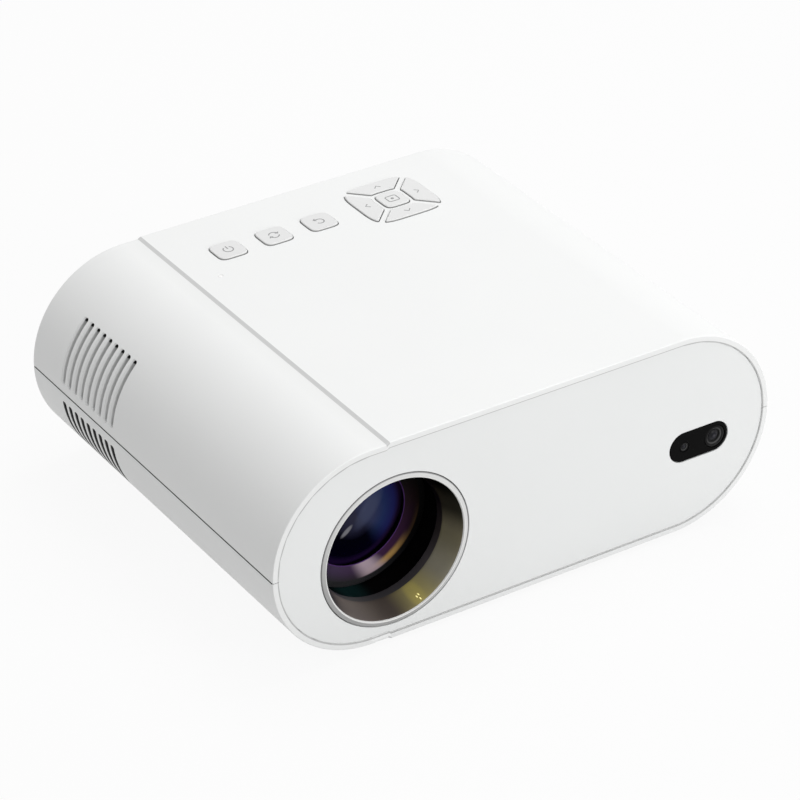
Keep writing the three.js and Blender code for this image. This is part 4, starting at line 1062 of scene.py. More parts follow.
def grille_cutter(face, back, material):
    """A round plug, sliced by bars, that cuts the slots of the speaker grille."""
    case, centre = values("case"), middle("speaker_cone")
    radius, pitch, slot, bars = 16.5 * MM, 4.4 * MM, 2 * MM, 8
    plug = rod("y", centre, radius, back - 1 * MM, face + 1 * MM, 96)
    bar = block(centre.x, centre.z - (bars - 1) / 2 * pitch, 4 * radius, pitch - slot, 0.4 * MM)
    sliced = sweep(bar, "y", [(back - 2 * case.panel, 0), (face + case.panel, 0)])
    return repeat_cut(plug, sliced, bars, (0, 0, pitch), material)


def inlet_outline():
    x, z, width, height = from_behind("mains_inlet")
    radius = height / 2 - INLET_FLANGE
    return stadium(x, z, width / 2 - INLET_FLANGE - radius, radius, 20)


# The lens


def build_ring_and_hood():
    lens, case, centre, y = values("lens"), values("case"), middle("lens_ring"), front()
    inner = lens.ring - lens.ring_width
    cone = (inner - lens.hood_mouth) / lens.hood_depth
    profile = offsets(lens.ring, y, (0, 0.55), (0, 2))
    profile += offsets(inner, y, (0.9, 2), (0.9, 0.6), (-0.6 * cone, 0.6), (-0.03, 0.25))
    profile += offsets(inner, y, (0.08, 0.07), (0.25, 0), (0.6, 0.01))
    profile += offsets(lens.ring, y, (-0.3, 0.36), (-0.1, 0.42))
    ring = lathe(profile, "y", centre, lens.sides)
    finished(ring, "lens_ring_bright", "bright_ring", ring_paint(centre).material, "lens_ring", sharp=40)

    start = 0.7 * MM
    mouth = inner - cone * start
    ledge = y + (case.recess + case.panel + 0.3 * MM)
    waist, lip = y + lens.hood_depth, lens.hood_mouth
    profile = offsets(mouth, y + start, (0.15, 0)) + offsets(inner, y, (0.8, 0.7), (0.8, 2.3))
    profile += offsets(lens.ring, y, (-0.3, 2.3)) + offsets(lens.ring, ledge, (-0.3, 0), (2.1, 0), (2.1, 2))
    profile += offsets(mouth, ledge, (1.6, 2)) + offsets(lip, waist, (1.6, 0))
    profile += offsets(lip, waist + lens.hood_lip, (1.6, 0), (0.35, 0), (0.1, -0.1), (0, -0.35))
    profile += offsets(lip, waist, (0, 0.2))
    shares = [i / 12 for i in range(1, 12)]
    profile += [(lip + (mouth - lip) * t, waist + (start - lens.hood_depth) * t) for t in shares]
    hood = lathe([*profile, *offsets(mouth, y + start, (0, 0.15))], "y", centre, lens.sides)
    finished(hood, "lens_hood_cone", "hood", hood_paint(centre).material, "lens_hood", sharp=40)


def ring_paint(centre):
    """Satin silver, a little darker low on the left, with a bright inner edge."""
    lens, tint = values("lens"), values("finishes").ring
    paint = Paint("satin_silver", Specular_IOR_Level=0.3)
    x, _, z = paint.parts(centre)
    # Painted shade: darker low on the left.
    low_left_shade = ((x * 0.55 + z) / (-1.14 * lens.ring)).between(-0.4, 0.95)
    shaded_silver = paint.blend(low_left_shade, tuple(tint), (0.36, 0.362, 0.36))
    radius = x.distance(z)
    # Painted highlight on the inner edge and a painted shade line round the outer edge.
    inner = 1 - radius.between(lens.ring - 1.72 * MM, lens.ring - 1.5 * MM)
    outer = radius.between(lens.ring - 0.4 * MM, lens.ring - 0.25 * MM)
    paint.set("Base Color", paint.blend(inner, paint.blend(outer, shaded_silver, grey(0.3)), (0.8, 0.8, 0.79)))
    paint.gloss(paint.noise(1400, 3), 0.36, 0.12, 0.002 * MM)
    return paint


def hood_paint(centre):
    """Polished dark plastic: olive low on the right, rosy grey on the left, near black above, violet lip."""
    paint = Paint("polished_olive", Specular_IOR_Level=0.06)
    x, y, z = paint.parts(centre)
    turn = paint.turn(x, z)
    # Painted light and shade by the turn round the lens: lit low down, near black in painted shade above.
    stops = [
        (0.06, (0.03, 0.028, 0.036)), (0.15, (0.17, 0.145, 0.135)), (0.25, (0.075, 0.06, 0.052)),
        (0.325, (0.36, 0.31, 0.13)), (0.39, (0.28, 0.26, 0.2)), (0.467, (0.19, 0.17, 0.11)),
        (0.535, (0.022, 0.02, 0.014)), (0.62, (0.001, 0.001, 0.001)),
    ]
    cone = paint.ramp(turn, stops, "EASE")
    # The lip in the same painted light and shade.
    stops = [
        (0.08, (0.03, 0.03, 0.06)), (0.16, (0.1, 0.1, 0.1)), (0.25, (0.055, 0.053, 0.057)),
        (0.39, (0.085, 0.075, 0.08)), (0.46, (0.035, 0.028, 0.028)), (0.54, (0.004, 0.003, 0.004)),
    ]
    lip = paint.ramp(turn, stops)
    # Painted golden glow low on the right.
    cone = paint.blend(paint.spot(x, z, (10.9, -25.5), (3.8, 2.4), 0.45) * 0.6, cone, (0.5, 0.42, 0.12))
    # Three painted sparkles.
    for place in ((10.9, -26.2), (11.8, -25.7), (11.6, -26.4)):
        cone = paint.blend(paint.spot(x, z, place, (0.28, 0.22)), cone, (2.4, 2.1, 0.9))
    # Faint random clouding over the painted light.
    cloud = paint.noise(70, 3).between(0.25, 0.75)
    lit_and_clouded = paint.times(cone, paint.blend(cloud, (0.9, 0.9, 0.92), (1.08, 1.08, 1.04)))
    depth = y - (front() - centre.y) - values("lens").hood_depth
    paint.set("Base Color", paint.blend(depth.between(-0.1 * MM, 0.2 * MM), lit_and_clouded, lip))
    paint.gloss(paint.noise(300, 3), 0.3, 0.1, 0.004 * MM)
    return paint


def build_barrel():
    lens, centre = values("lens"), middle("lens_ring")
    low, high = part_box("lens_barrel")
    y, r, n, dish = front() + lens.barrel_front, lens.barrel, lens.nose, 1.4 * MM
    profile = offsets(n, y + dish, (0, 0.15), (0.12, 0))
    for share, step in ((0.3, 0), (0.34, 0.08), (0.62, 0), (0.66, 0.08), (0.88, 0)):
        along = n + share * (r - n)
        profile.append((along, y + (r - along) * (dish / (r - n)) - step * MM))
    bore, stop, seat = 19.9, 18, 21.9  # radii behind the face in millimetres
    profile += [*offsets(r, y, (-0.5, 0.02), (-0.25, 0), (0, 0.25)), (r, high.y), (bore * MM, high.y)]
    profile += offsets(0, y, (bore, 29), (stop, 29), (stop, 26), (seat, 26))
    profile += offsets(0, y + dish, (seat, 1)) + offsets(n, y + dish, (0, 1))
    barrel = lathe(profile, "y", centre, lens.sides)
    rack_x = centre.x + r - 0.6 * MM
    rack = block((rack_x + high.x) / 2 + 2 * MM, centre.z, high.x - rack_x + 4 * MM, 8 * MM)
    join(barrel, inner_part("lens_barrel", sweep(rack, "y", [(low.y, 0), (high.y, 0)])))
    material = barrel_paint(centre).material
    finished(barrel, "lens_barrel_turned", "barrel", material, "lens_barrel", body="focus_group")


def barrel_paint(centre):
    """Black barrel whose polished face shimmers violet, with a lilac and an amber glint low down."""
    lens = values("lens")
    paint = Paint("shimmering_black", Specular_IOR_Level=0.05)
    x, y, z = paint.parts(centre)
    turn = paint.turn(x, z)
    share = (x.distance(z) - lens.nose) / (lens.barrel - lens.nose)
    # Painted coating reflection by the turn round the lens: violet low down, black in painted shade above.
    stops = [
        (0.05, (0.012, 0.009, 0.024)), (0.17, (0.062, 0.04, 0.085)), (0.36, (0.05, 0.016, 0.055)),
        (0.5, (0.018, 0.008, 0.011)), (0.58, (0.002, 0.002, 0.002)),
    ]
    body = paint.ramp(turn, stops)
    # The outer part of the painted reflection turns darker and greener.
    body = paint.times(body, paint.blend(share.between(0.2, 0.9), grey(1.0), (0.5, 0.8, 0.35)))
    # Painted olive reflection low on the right.
    olive = turn.within(0.33, 0.4, 0.43, 0.5) * share.between(0.45, 0.9)
    body = paint.blend(olive, body, (0.12, 0.07, 0.028))
    # Painted amber glint.
    amber = turn.peak(0.335, 0.085) * share.peak(0.56, 0.26)
    body = paint.blend(amber, body, (0.52, 0.31, 0.1))
    # Painted lilac glint.
    lilac = (turn - 0.03 * share).peak(0.268, 0.052)
    body = paint.blend(lilac * 0.8, body, (0.6, 0.47, 0.54))
    # Fine turned rings in a dark band, shown by painted light low on the left.
    rings = (share * 150).sine().between(-0.6, 0.8)
    rim = paint.blend(rings * turn.peak(0.2, 0.24), grey(0.004), (0.05, 0.05, 0.054))
    body = paint.blend(share.between(0.68, 0.76), body, rim)
    # Painted light on the edge of the nose opening.
    body = paint.blend(share.between(0.01, 0.05), (0.1, 0.04, 0.18), body)
    face = 1 - (y - (front() + lens.barrel_front - centre.y)).between(1.5 * MM, 1.7 * MM)
    paint.set("Base Color", paint.blend(face * share.between(-0.1, -0.08), (0.003, 0.003, 0.004), body))
    paint.gloss(paint.noise(900, 3), 0.3, 0.1, 0.004 * MM)
    return paint


def build_front_glass():
    low, high, centre, radius = extent("front_glass")
    curve, steps = values("lens").glass_curve, 24
    spans = [0, *((radius - 0.2 * MM) * i / steps for i in range(1, steps + 1))]
    profile = [(r, low.y + curve - math.sqrt(curve * curve - r * r)) for r in spans]
    profile += [(radius, profile[-1][1] + 0.2 * MM), (radius, high.y), (0, high.y)]
    glass = lathe(profile, "y", centre, values("lens").sides)
    material = glass_paint(centre).material
    finished(glass, "front_glass_coated", "coated_glass", material, "front_glass", body="focus_group")


def glass_paint(centre):
    """Coated glass: blue and teal high on the right, black low on the left, with two soft glints."""
    paint = Paint("coated_glass", Specular_IOR_Level=0.04)
    x, _, z = paint.parts(centre)
    turn, radius = paint.turn(x, z), x.distance(z) / values("lens").nose
    # Painted reflections high on the right, blue deepening towards the edge.
    stops = [
        (0.0, (0.02, 0.022, 0.055)), (0.4, (0.035, 0.042, 0.1)), (0.62, (0.02, 0.035, 0.12)),
        (0.85, (0.02, 0.022, 0.13)), (0.98, (0.02, 0.009, 0.04)),
    ]
    right = paint.ramp(radius, stops)
    # Painted shade: near black low down and on the left.
    stops = [
        (0.0, (0.028, 0.028, 0.055)), (0.25, (0.02, 0.02, 0.045)), (0.5, (0.001, 0.001, 0.004)),
        (0.86, (0.001, 0.0005, 0.006)), (0.98, (0.014, 0.005, 0.035)),
    ]
    body = paint.blend(turn.within(0.31, 0.42, 0.72, 0.82), paint.ramp(radius, stops), right)
    # Painted teal reflection high on the right, then a painted veil and a painted glint.
    body = paint.blend(paint.spot(x, z, (6, 13), (7, 6)) * 0.8, body, (0.008, 0.05, 0.1))
    body = paint.blend(paint.spot(x, z, (5.5, 1.5), (4.5, 11), -0.7) * 0.5, body, (0.08, 0.095, 0.17))
    glint = paint.spot(x, z, (-4.4, -5.2), (1.3, 3.8), -0.8)
    paint.set("Base Color", paint.blend(glint * 0.8, body, (0.28, 0.28, 0.31)))
    paint.gloss(paint.noise(90, 2), 0.04, 0.03)
    return paint


SENSORS = {"camera_module": "camera_lens", "range_sensor": "range_lens"}
SENSOR_PROFILE = [
    # radius and depth as shares of a sensor's radius
    (0, 0.06), (0.18, 0.07), (0.34, 0.12), (0.46, 0.2), (0.5, 0.3), (0.62, 0.27),
    (0.64, 0.12), (0.8, 0.08), (0.82, 0), (0.97, 0), (1, 0.03),
]


# The sensor window


def build_sensor_window():
    case, outline = values("case"), window_outline()
    face, back = front() + case.recess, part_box("sensor_window")[1].y
    pane = sweep(outline, "y", [*rounded(0.35 * MM, face, 1), (back, 0)])
    join(pane, sweep(grown(outline, WINDOW_FLANGE), "y", [(back - FLANGE_DEPTH, 0), (back, 0)]))
    for node in SENSORS:
        _, _, centre, radius = extent(node)
        cut(pane, opening(circle(centre.x, centre.z, radius + case.fit, 72), face, back, 0.1 * MM))
    gloss = moulded("gloss_black", grey(0.003), 0.1, 0.001, 800, 0.1, Specular_IOR_Level=0.03)
    finished(pane, "sensor_window_pane", "window", gloss.material, "sensor_window")
    for node, name in SENSORS.items():
        low, high, centre, radius = extent(node)
        profile = [(radius * out, low.y + radius * down) for out, down in SENSOR_PROFILE]
        tube = lathe([*profile, (radius, high.y), (0, high.y)], "y", centre, 72)
        finished(tube, name, "camera_glass", camera_paint(name, centre, radius).material, node)


def camera_paint(name, centre, radius):
    """Small coated lens in black rings."""
    paint = Paint(name + "_finish", Specular_IOR_Level=0.06)
    x, _, z = paint.parts(centre)
    stops = [
        (0.0, (0.05, 0.05, 0.056)), (0.2, (0.012, 0.012, 0.016)), (0.48, (0.03, 0.03, 0.032)),
        (0.58, grey(0.003)), (0.72, grey(0.05)), (0.84, grey(0.005)), (1.0, grey(0.016)),
    ]
    tints = paint.ramp(x.distance(z) / radius, stops)
    # Painted light: brighter towards the lower right, darker towards the upper left.
    lit = ((x - z) / radius).between(-1.2, 1.2)
    paint.set("Base Color", paint.times(tints, paint.blend(lit, grey(0.4), grey(1.9))))
    paint.gloss(paint.noise(600, 2), 0.12, 0.08)
    return paint


# Keys


def key_cap(name, outline):
    """A key with its flange, stem and softly rounded top."""
    keys, end = values("keys"), flange_top()
    start = end - FLANGE_DEPTH
    crown = rounded(keys.crown, case_top() + keys.proud, -1, steps=5)[::-1]
    cap = sweep(outline, "z", [(start, 0), (end, 0), *crown])
    join(cap, sweep(grown(outline, KEY_FLANGE), "z", [(start, 0), (end, 0)]))
    stations = [(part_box(name)[0].z - MM, 0), (start + 0.1 * MM, 0)]
    return join(cap, inner_part(name, sweep(block(0, 0, 400 * MM, 400 * MM), "z", stations)))


def stroke(points, width, z, closed=False):
    """A flat printed line along a path."""
    top, n = z + values("keys").ink, len(points)
    rings = []
    for i, p in enumerate(points):
        a = Vector(points[i - 1] if closed or i else p)
        b = Vector(points[(i + 1) % n] if closed or i < n - 1 else p)
        along = (b - a).normalized()
        across = Vector((-along.y, along.x)) * (width / 2)
        l, r = Vector(p) + across, Vector(p) - across
        rings.append([(l.x, l.y, z), (l.x, l.y, top), (r.x, r.y, top), (r.x, r.y, z)])
    return loft(rings, loop=closed)


def arc_points(x, y, radius, start, end, steps=28):
    bends = [math.radians(start + (end - start) * i / steps) for i in range(steps + 1)]
    return [(x + radius * math.cos(a), y + radius * math.sin(a)) for a in bends]


def arrow_head(tip, heading, length):
    """Two short lines that meet at a tip."""
    spread = math.radians(42)
    bends = [math.radians(heading) + way * spread for way in (-1, 1)]
    ends = [(tip[0] - length * math.cos(a), tip[1] - length * math.sin(a)) for a in bends]
    return [ends[0], tip, ends[1]]


def key_symbols():
    """The printed lines on each key, as paths round the key's own middle."""
    r = values("keys").symbol
    power = [arc_points(0, 0, r, 125, 415), [(0, r * 0.15), (0, r * 1.25)]]
    swap = [
        arc_points(0, r * 0.05, r, 20, 160),
        arrow_head((r * 0.98, r * 0.22), -75, r * 0.6),
        arc_points(0, -r * 0.05, r, 200, 340),
        arrow_head((-r * 0.98, -r * 0.22), 105, r * 0.6),
    ]
    back = [
        [(-r * 0.7, r * 0.75), *arc_points(r * 0.1, -r * 0.1, r * 0.85, 90, -150)],
        arrow_head((-r * 0.9, r * 0.75), 180, r * 0.66),
    ]
    corners = ((-0.8, -0.65, 270, 180), (-0.8, 0.65, 180, 90), (0.8, 0.65, 90, 0), (0.8, -0.65, 0, -90))
    ok = [[p for x, y, start, end in corners for p in arc_points(x * r, y * r, r * 0.4, start, end, 6)]]
    signs = {"power_key": power, "source_key": swap, "back_key": back, "ok_key": ok}
    return signs | {name: [arrow_head((0, r * 0.36), 90, r)] for name in DIRECTION_KEYS}


def build_keys():
    keys, tints = values("keys"), values("finishes")
    top = case_top() + keys.proud
    print_z = top - 0.001 * MM
    plastic = moulded("key_grey", tints.key, 0.48, 0.006, 3000, 0.01, Specular_IOR_Level=0.3)
    # Painted shade: the sides of each key, below its rounded top, in dark grey.
    face = plastic.parts()[2].between(top - 0.42 * MM, top - 0.2 * MM)
    plastic.set("Base Color", plastic.blend(face, (0.36, 0.361, 0.36), plastic.colour))
    ink = moulded("symbol_ink", tints.symbol, 0.6, 0.003, 3000, 0.04).material
    wide, deep = (keys.pad_width + keys.hole_width) / 4, (keys.pad_depth + keys.hole_depth) / 4
    places = zip(DIRECTION_KEYS, ((0, deep, 0), (wide, 0, -90), (0, -deep, 180), (-wide, 0, 90)))
    directions, signs = dict(places), key_symbols()
    for name, outline in key_outlines().items():
        body = name.replace("_key", "_button")
        finished(key_cap(name, outline), name + "_cap", "key", plastic.material, name, body=body)
        centre = middle("ok_key" if name in directions else name)
        across, along, turn = directions.get(name, (0, 0, 0))
        x, y = centre.x + across, centre.y + along
        c, s = math.cos(math.radians(turn)), math.sin(math.radians(turn))
        lines = []
        for path in signs[name]:
            points = [(x + a * c - b * s, y + a * s + b * c) for a, b in path]
            lines.append(stroke(points, keys.line, print_z, closed=name == "ok_key"))
        if name == "ok_key":
            lines.append(rod("z", (x, y, 0), keys.line * 1.5, print_z, top + keys.ink, 16))
        for other in lines[1:]:
            join(lines[0], other)
        finished(lines[0], name + "_symbol", "key", ink, body=body)


def build_status_light():
    low, high, centre, _ = extent("status_light")
    pipe = rod("z", centre, LIGHT_RADIUS, low.z, high.z, 40, 0.15 * MM)
    join(pipe, rod("z", centre, 2 * LIGHT_RADIUS, flange_top() - FLANGE_DEPTH, flange_top(), 40, 0.1 * MM))
    milky = moulded("milky_acrylic", (0.86, 0.86, 0.85), 0.22, 0.002, 900, 0.01)
    finished(pipe, "status_light_pipe", "light_pipe", milky.material, "status_light")


def socket_mouth(node):
    """The outline of a socket's own mouth, which for the first one has two sloping corners."""
    x, z, width, height = from_behind(node)
    if node != "hdmi_socket":
        return block(x, z, width, height, 0.6 * MM)

    def outline(grow):
        a, b, slope = width / 2 + grow, height / 2 + grow, 1.9 * MM
        low = z - b + slope * 0.9
        left = [(x - a, z + b), (x - a, low), (x - a + slope, z - b)]
        return [*left, (x + a - slope, z - b), (x + a, low), (x + a, z + b)]

    return outline


# Sockets


def build_sockets():
    steel = metal("plated_steel", (0.62, 0.62, 0.61), 0.3, 0.003, (1, 6, 1), 700).material
    black = moulded("socket_black", (0.012, 0.012, 0.013), 0.45, 0.01, 1500, 0.1).material
    gold = metal("gold_contacts", (0.83, 0.6, 0.22), 0.22, 0.002).material
    for node, (skin_depth, lift, thick, number, pitches) in SOCKETS.items():
        x, z, width, _ = from_behind(node)
        start, y = (corner.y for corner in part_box(node))
        mouth = socket_mouth(node)
        shell = sweep(mouth, "y", [(start, 0), (y - 0.12 * MM, 0), (y, -0.12 * MM)])
        hollow = [(y - 9 * MM, 0), (y - 0.3 * MM, 0), (y + MM, 0.5 * MM)]
        cut(shell, sweep(grown(mouth, -skin_depth * MM), "y", hollow))
        finished(shell, node + "_shell", "socket_steel", steel, node)
        tongue_z = z + lift * MM
        tongue = block(x, tongue_z, width - 3.4 * MM, thick * MM, 0.2 * MM)
        tongue = sweep(tongue, "y", [(y - 9.5 * MM, 0), (y - 1.3 * MM, 0), (y - 1.1 * MM, -0.2 * MM)])
        finished(tongue, node + "_tongue", "socket_steel", black)
        pitch = (width - 5 * MM) / pitches
        contacts = []
        for i in range(number):
            contact_x, contact_z = x + (i - (number - 1) / 2) * pitch, tongue_z - thick * MM / 2
            strip = block(contact_x, contact_z, pitch * 0.45, 0.24 * MM, 0.05 * MM)
            contacts.append(sweep(strip, "y", [(y - 9.2 * MM, 0), (y - 1.8 * MM, 0)]))
        finished(gathered(contacts), node + "_contacts", "socket_steel", gold)
    build_jack(black, steel)
    build_inlet(black, steel)


def build_jack(black, steel):
    low, high, centre, _ = extent("audio_jack")
    x, z, width, height = from_behind("audio_jack")
    y = high.y
    outline = block(x, z, width, height, 0.5 * MM)
    body = sweep(outline, "y", [(low.y, 0), (y - 0.15 * MM, 0), (y, -0.15 * MM)])
    bore, depth = 2.3 * MM, 11 * MM
    cut(body, rod("y", centre, bore, y - depth, y + MM))
    finished(body, "audio_jack_body", "black_plastic", black, "audio_jack")
    profile = offsets(0, y, (1.75, -10.5), (2.25, -10.5), (2.25, -0.25))
    profile += offsets(0, y, (2.1, -0.1), (1.95, -0.1), (1.75, -0.35))
    finished(lathe(profile, "y", centre, 48), "audio_jack_sleeve", "socket_steel", steel)


def build_inlet(black, steel):
    case, outline = values("case"), inlet_outline()
    x, z, _, _ = from_behind("mains_inlet")
    start, y = (corner.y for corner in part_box("mains_inlet"))
    body = sweep(outline, "y", [(start, 0), (y - 0.3 * MM, 0), (y, -0.3 * MM)])
    flange_y = rear() - case.recess - case.panel - 0.3 * MM
    join(body, sweep(grown(outline, INLET_FLANGE), "y", [(flange_y - 2 * MM, 0), (flange_y, 0)]))
    rim = [(y - 1.2 * MM, 0), (y - 0.2 * MM, 0), (y + MM, 1.2 * MM)]
    cut(body, sweep(grown(outline, -1.2 * MM), "y", rim))
    recess, recess_radius, pin, pin_radius = 3.3 * MM, 3.75 * MM, 4.3 * MM, 1.2 * MM
    for side in (-1, 1):
        cut(body, rod("y", (x + side * recess, 0, z), recess_radius, y - 11 * MM, y + MM, 64))
    finished(body, "mains_inlet_body", "black_plastic", black, "mains_inlet")
    places = [(x + side * pin, 0, z) for side in (-1, 1)]
    pins = [rod("y", place, pin_radius, y - 12 * MM, y - 1.6 * MM, 32, 0.5 * MM) for place in places]
    finished(gathered(pins), "mains_inlet_pins", "socket_steel", steel)


# Underside


def build_feet():
    rubber = moulded("foot_rubber", (0.028, 0.029, 0.031), 0.8, 0.05, 1800, 0.15).material
    for i in range(1, 5):
        low, high, centre, radius = extent(f"foot_{i}")
        z = low.z
        profile = offsets(0, z, (0, 0.25))
        for k in range(1, 6):
            profile += offsets(radius * k / 6.6, z, (-0.3, 0.25), (-0.2, 0), (0.2, 0), (0.3, 0.25))
        profile += offsets(radius, z, (-0.9, 0.25), (-0.8, 0), (-0.5, 0))
        profile += [(radius - 0.5 * MM + s, p) for s, p in quarter(0.5 * MM, z, 1)][1:]
        foot = lathe([*profile, (radius, high.z), (0, high.z)], "z", centre, 96)
        finished(foot, f"foot_{i}_rubber", "rubber", rubber, f"foot_{i}")


def build_tripod_insert():
    low, high, centre, radius = extent("tripod_insert")
    z, sides = low.z, 48
    bore, depth, turn_rise = 3.1 * MM, 6.4 * MM, 1.27 * MM
    steps = sides * (depth / turn_rise)
    thread = []
    for i in range(int(steps) + 1):
        c, s, rise = math.cos(TURN * i / sides), math.sin(TURN * i / sides), turn_rise * i / sides
        fade = min(1, 8 * i / steps, 8 * (1 - i / steps) + 0.02)
        ring = [(bore + 0.3 * MM, -0.6 * MM), (bore - 0.35 * MM * fade, 0), (bore + 0.3 * MM, 0.6 * MM)]
        base = z + 0.7 * MM + rise * 0.86
        thread.append([(centre.x + r * c, centre.y + r * s, base + h * 0.9) for r, h in ring])
    body = rod("z", centre, radius, z, high.z, 96, 0.3 * MM)
    cut(body, rod("z", centre, bore + 0.1 * MM, z - MM, high.z - 1 * MM, 96))
    lead_in = offsets(bore, z, (1, -0.5), (0, 0.5))
    cut(body, lathe([(0, z - 0.5 * MM), *lead_in, (0, z + 0.5 * MM)], "z", centre, 96))
    brass = metal("turned_brass", (0.72, 0.5, 0.2), 0.28, 0.004, (1, 1, 6), 800).material
    finished(body, "tripod_insert_body", "brass", brass, "tripod_insert")
    finished(loft(thread), "tripod_insert_thread", "brass", brass, sharp=50)


def build_screws():
    steel = metal("screw_steel", (0.5, 0.5, 0.51), 0.32, 0.004).material
    head, core, cross = 1.8 * MM, 1.2 * MM, (0.7 * MM, 2.6 * MM)
    for i in range(1, 5):
        name = f"case_screw_{i}"
        low, high, centre, radius = extent(name)
        z = low.z
        screw = rod("z", centre, radius, z, z + head, 48, 0.35 * MM)
        join(screw, rod("z", centre, core, z + head / 2, high.z, 32, 0.3 * MM))
        for size in (cross, cross[::-1]):
            slot = [(z - MM, 0.15 * MM), (z + 0.1 * MM, 0), (z + 1.1 * MM, -0.15 * MM)]
            cut(screw, sweep(block(centre.x, centre.y, *size, 0.2 * MM), "z", slot))
        finished(screw, name + "_steel", "screw_steel", steel, name)


# Parts inside that keep their CAD shape


def inner_finishes():
    tints = values("finishes")
    return {
        ("sensor_board", "key_board", "main_board"): circuit_board("green_board", tints.board),
        ("power_board",): circuit_board("amber_board", (0.16, 0.09, 0.02)),
        ("lens_holder",): bore_paint(),
        ("engine_housing", "engine_cover", "fan_frame"): moulded(
            "inner_black", (0.02, 0.02, 0.021), 0.55, 0.03, 1500, 0.1
        ),
        ("fan_rotor",): moulded("fan_black", (0.014, 0.014, 0.016), 0.4, 0.02, 1200, 0.1),
        ("rear_glass", "condenser_lens"): clear("optical_glass", (0.93, 0.97, 0.96), 0.005),
        ("field_fresnel", "collimating_fresnel"): clear("clear_acrylic", (0.9, 0.95, 0.97)),
        ("lcd_panel",): lcd_paint(),
        ("mirror",): metal("front_silver", (0.88, 0.89, 0.9), 0.12, 0.0005, (1, 1, 1), 300),
        ("led_module",): led_paint(),
        ("heat_sink",): metal("extruded_aluminium", (0.72, 0.73, 0.74), 0.36, 0.006, (1, 1, 30), 900),
        ("focus_motor",): metal("motor_can", (0.6, 0.6, 0.61), 0.3, 0.003, (1, 1, 12), 900),
        ("focus_pinion",): moulded("natural_acetal", (0.78, 0.75, 0.66), 0.42, 0.01, 1600, 0.03),
        ("speaker",): metal("speaker_can", (0.2, 0.2, 0.21), 0.42, 0.006, (1, 8, 1), 700),
        ("speaker_cone",): cone_paint(),
    }


def bore_paint():
    """Deep black with a teal sheen low on the left of the bore."""
    paint = moulded("deep_black", grey(0.002), 0.5, 0.01, 1500, 0.1, Specular_IOR_Level=0.02)
    x, _, z = paint.parts(middle("lens_barrel"))
    sheen = paint.turn(x, z).peak(0.2, 0.05)
    paint.set("Base Color", paint.blend(sheen, paint.colour, (0.008, 0.03, 0.03)))
    return paint


def lcd_paint():
    """Dark glass with a fine grid of pixels in a thin frame."""
    paint = Paint("lcd_glass", Coat_Weight=0.8, Coat_Roughness=0.03)
    where = paint.place(turn=(0, math.pi / 2, 0))
    sockets = {"Vector": where, "Scale": 900, "Mortar Size": 0.12, "Brick Width": 0.5, "Row Height": 0.5}
    grid = paint.node("ShaderNodeTexBrick", {"offset": 0.0}, sockets, output="Fac")
    paint.set("Base Color", paint.blend(grid, (0.03, 0.036, 0.045), (0.006, 0.006, 0.008)))
    paint.gloss(grid, 0.12, 0.1)
    return paint


def led_paint():
    """White ceramic with a yellow phosphor dome."""
    paint = Paint("led_phosphor", Coat_Weight=0.4, Coat_Roughness=0.1)
    _, y, z = paint.parts(middle("led_module"))
    edge = y.distance(z).between(8.8 * MM, 9.2 * MM)
    paint.set("Base Color", paint.blend(edge, (0.85, 0.6, 0.09), (0.82, 0.82, 0.8)))
    paint.gloss(paint.noise(1800, 2), 0.3, 0.2, 0.01 * MM)
    return paint


def cone_paint():
    """Pressed paper with faint rings round its middle."""
    paint = Paint("pressed_paper")
    x, _, z = paint.parts(middle("speaker_cone"))
    wave = (x.distance(z) * (TURN / (1.6 * MM))).sine()
    fibre = paint.noise(1500, 4, 0.7)
    paint.set("Base Color", paint.blend(fibre, (0.012, 0.012, 0.013), (0.03, 0.03, 0.032)))
    paint.gloss(fibre, 0.75, 0.2)
    paint.bump(0.5 + 0.3 * wave + 0.2 * fibre, 0.15 * MM)
    return paint


def paint_inner_nodes():
    for names, paint in inner_finishes().items():
        for name in names:
            NODES[name].data.materials.clear()
            NODES[name].data.materials.append(paint.material)


# Studio


def build_floor():
    studio = values("studio")
    half = studio.floor / 2
    corners = [(x * half, y * half, 0) for x, y in ((-1, -1), (1, -1), (1, 1), (-1, 1))]
    floor = placed(mesh_of(corners, [(0, 1, 2, 3)]), "floor")
    paint = Paint("pale_floor", Roughness=0.9, Specular_IOR_Level=0.0)
    paint.set("Base Color", paint.blend(paint.noise(6, 2), grey(0.69), grey(0.71)))
    seen = paint.seen_rays() * studio.white
    plain = paint.node("ShaderNodeEmission", None, {"Color": grey(1.0), "Strength": 1.0})
    shown = paint.node("ShaderNodeMixShader", None, {0: seen, 1: paint.surface, 2: plain})
    behind = paint.node("ShaderNodeNewGeometry", output="Backfacing")
    gone = paint.node("ShaderNodeBsdfTransparent")
    whole = paint.node("ShaderNodeMixShader", None, {0: behind, 1: shown, 2: gone})
    paint.fill(paint.out, {"Surface": whole})
    floor.data.materials.append(paint.material)


def build_world():
    world = bpy.data.worlds.new("studio_white")
    bpy.context.scene.world = world
    world.use_nodes = True
    net = Net(world.node_tree)
    sockets = {"Value": net.seen_rays(), "To Min": values("studio").ambient}
    level = net.node("ShaderNodeMapRange", None, sockets)
    sky = net.node("ShaderNodeBackground", None, {"Color": grey(1), "Strength": level})
    net.raw("ShaderNodeOutputWorld", {"Surface": sky})


LAMPS = (
    # name, place, aim, width, watts
    ("top_light", (0.35, 0.1, 1.2), (0.0, 0.0, 0.05), 0.9, 7.0),
    ("front_light", (0.5, -1.3, 0.5), (0.0, 0.0, 0.04), 0.8, 7.8),
)
CAMERA_PLACE = (-0.64094, -1.00494, 0.76745)


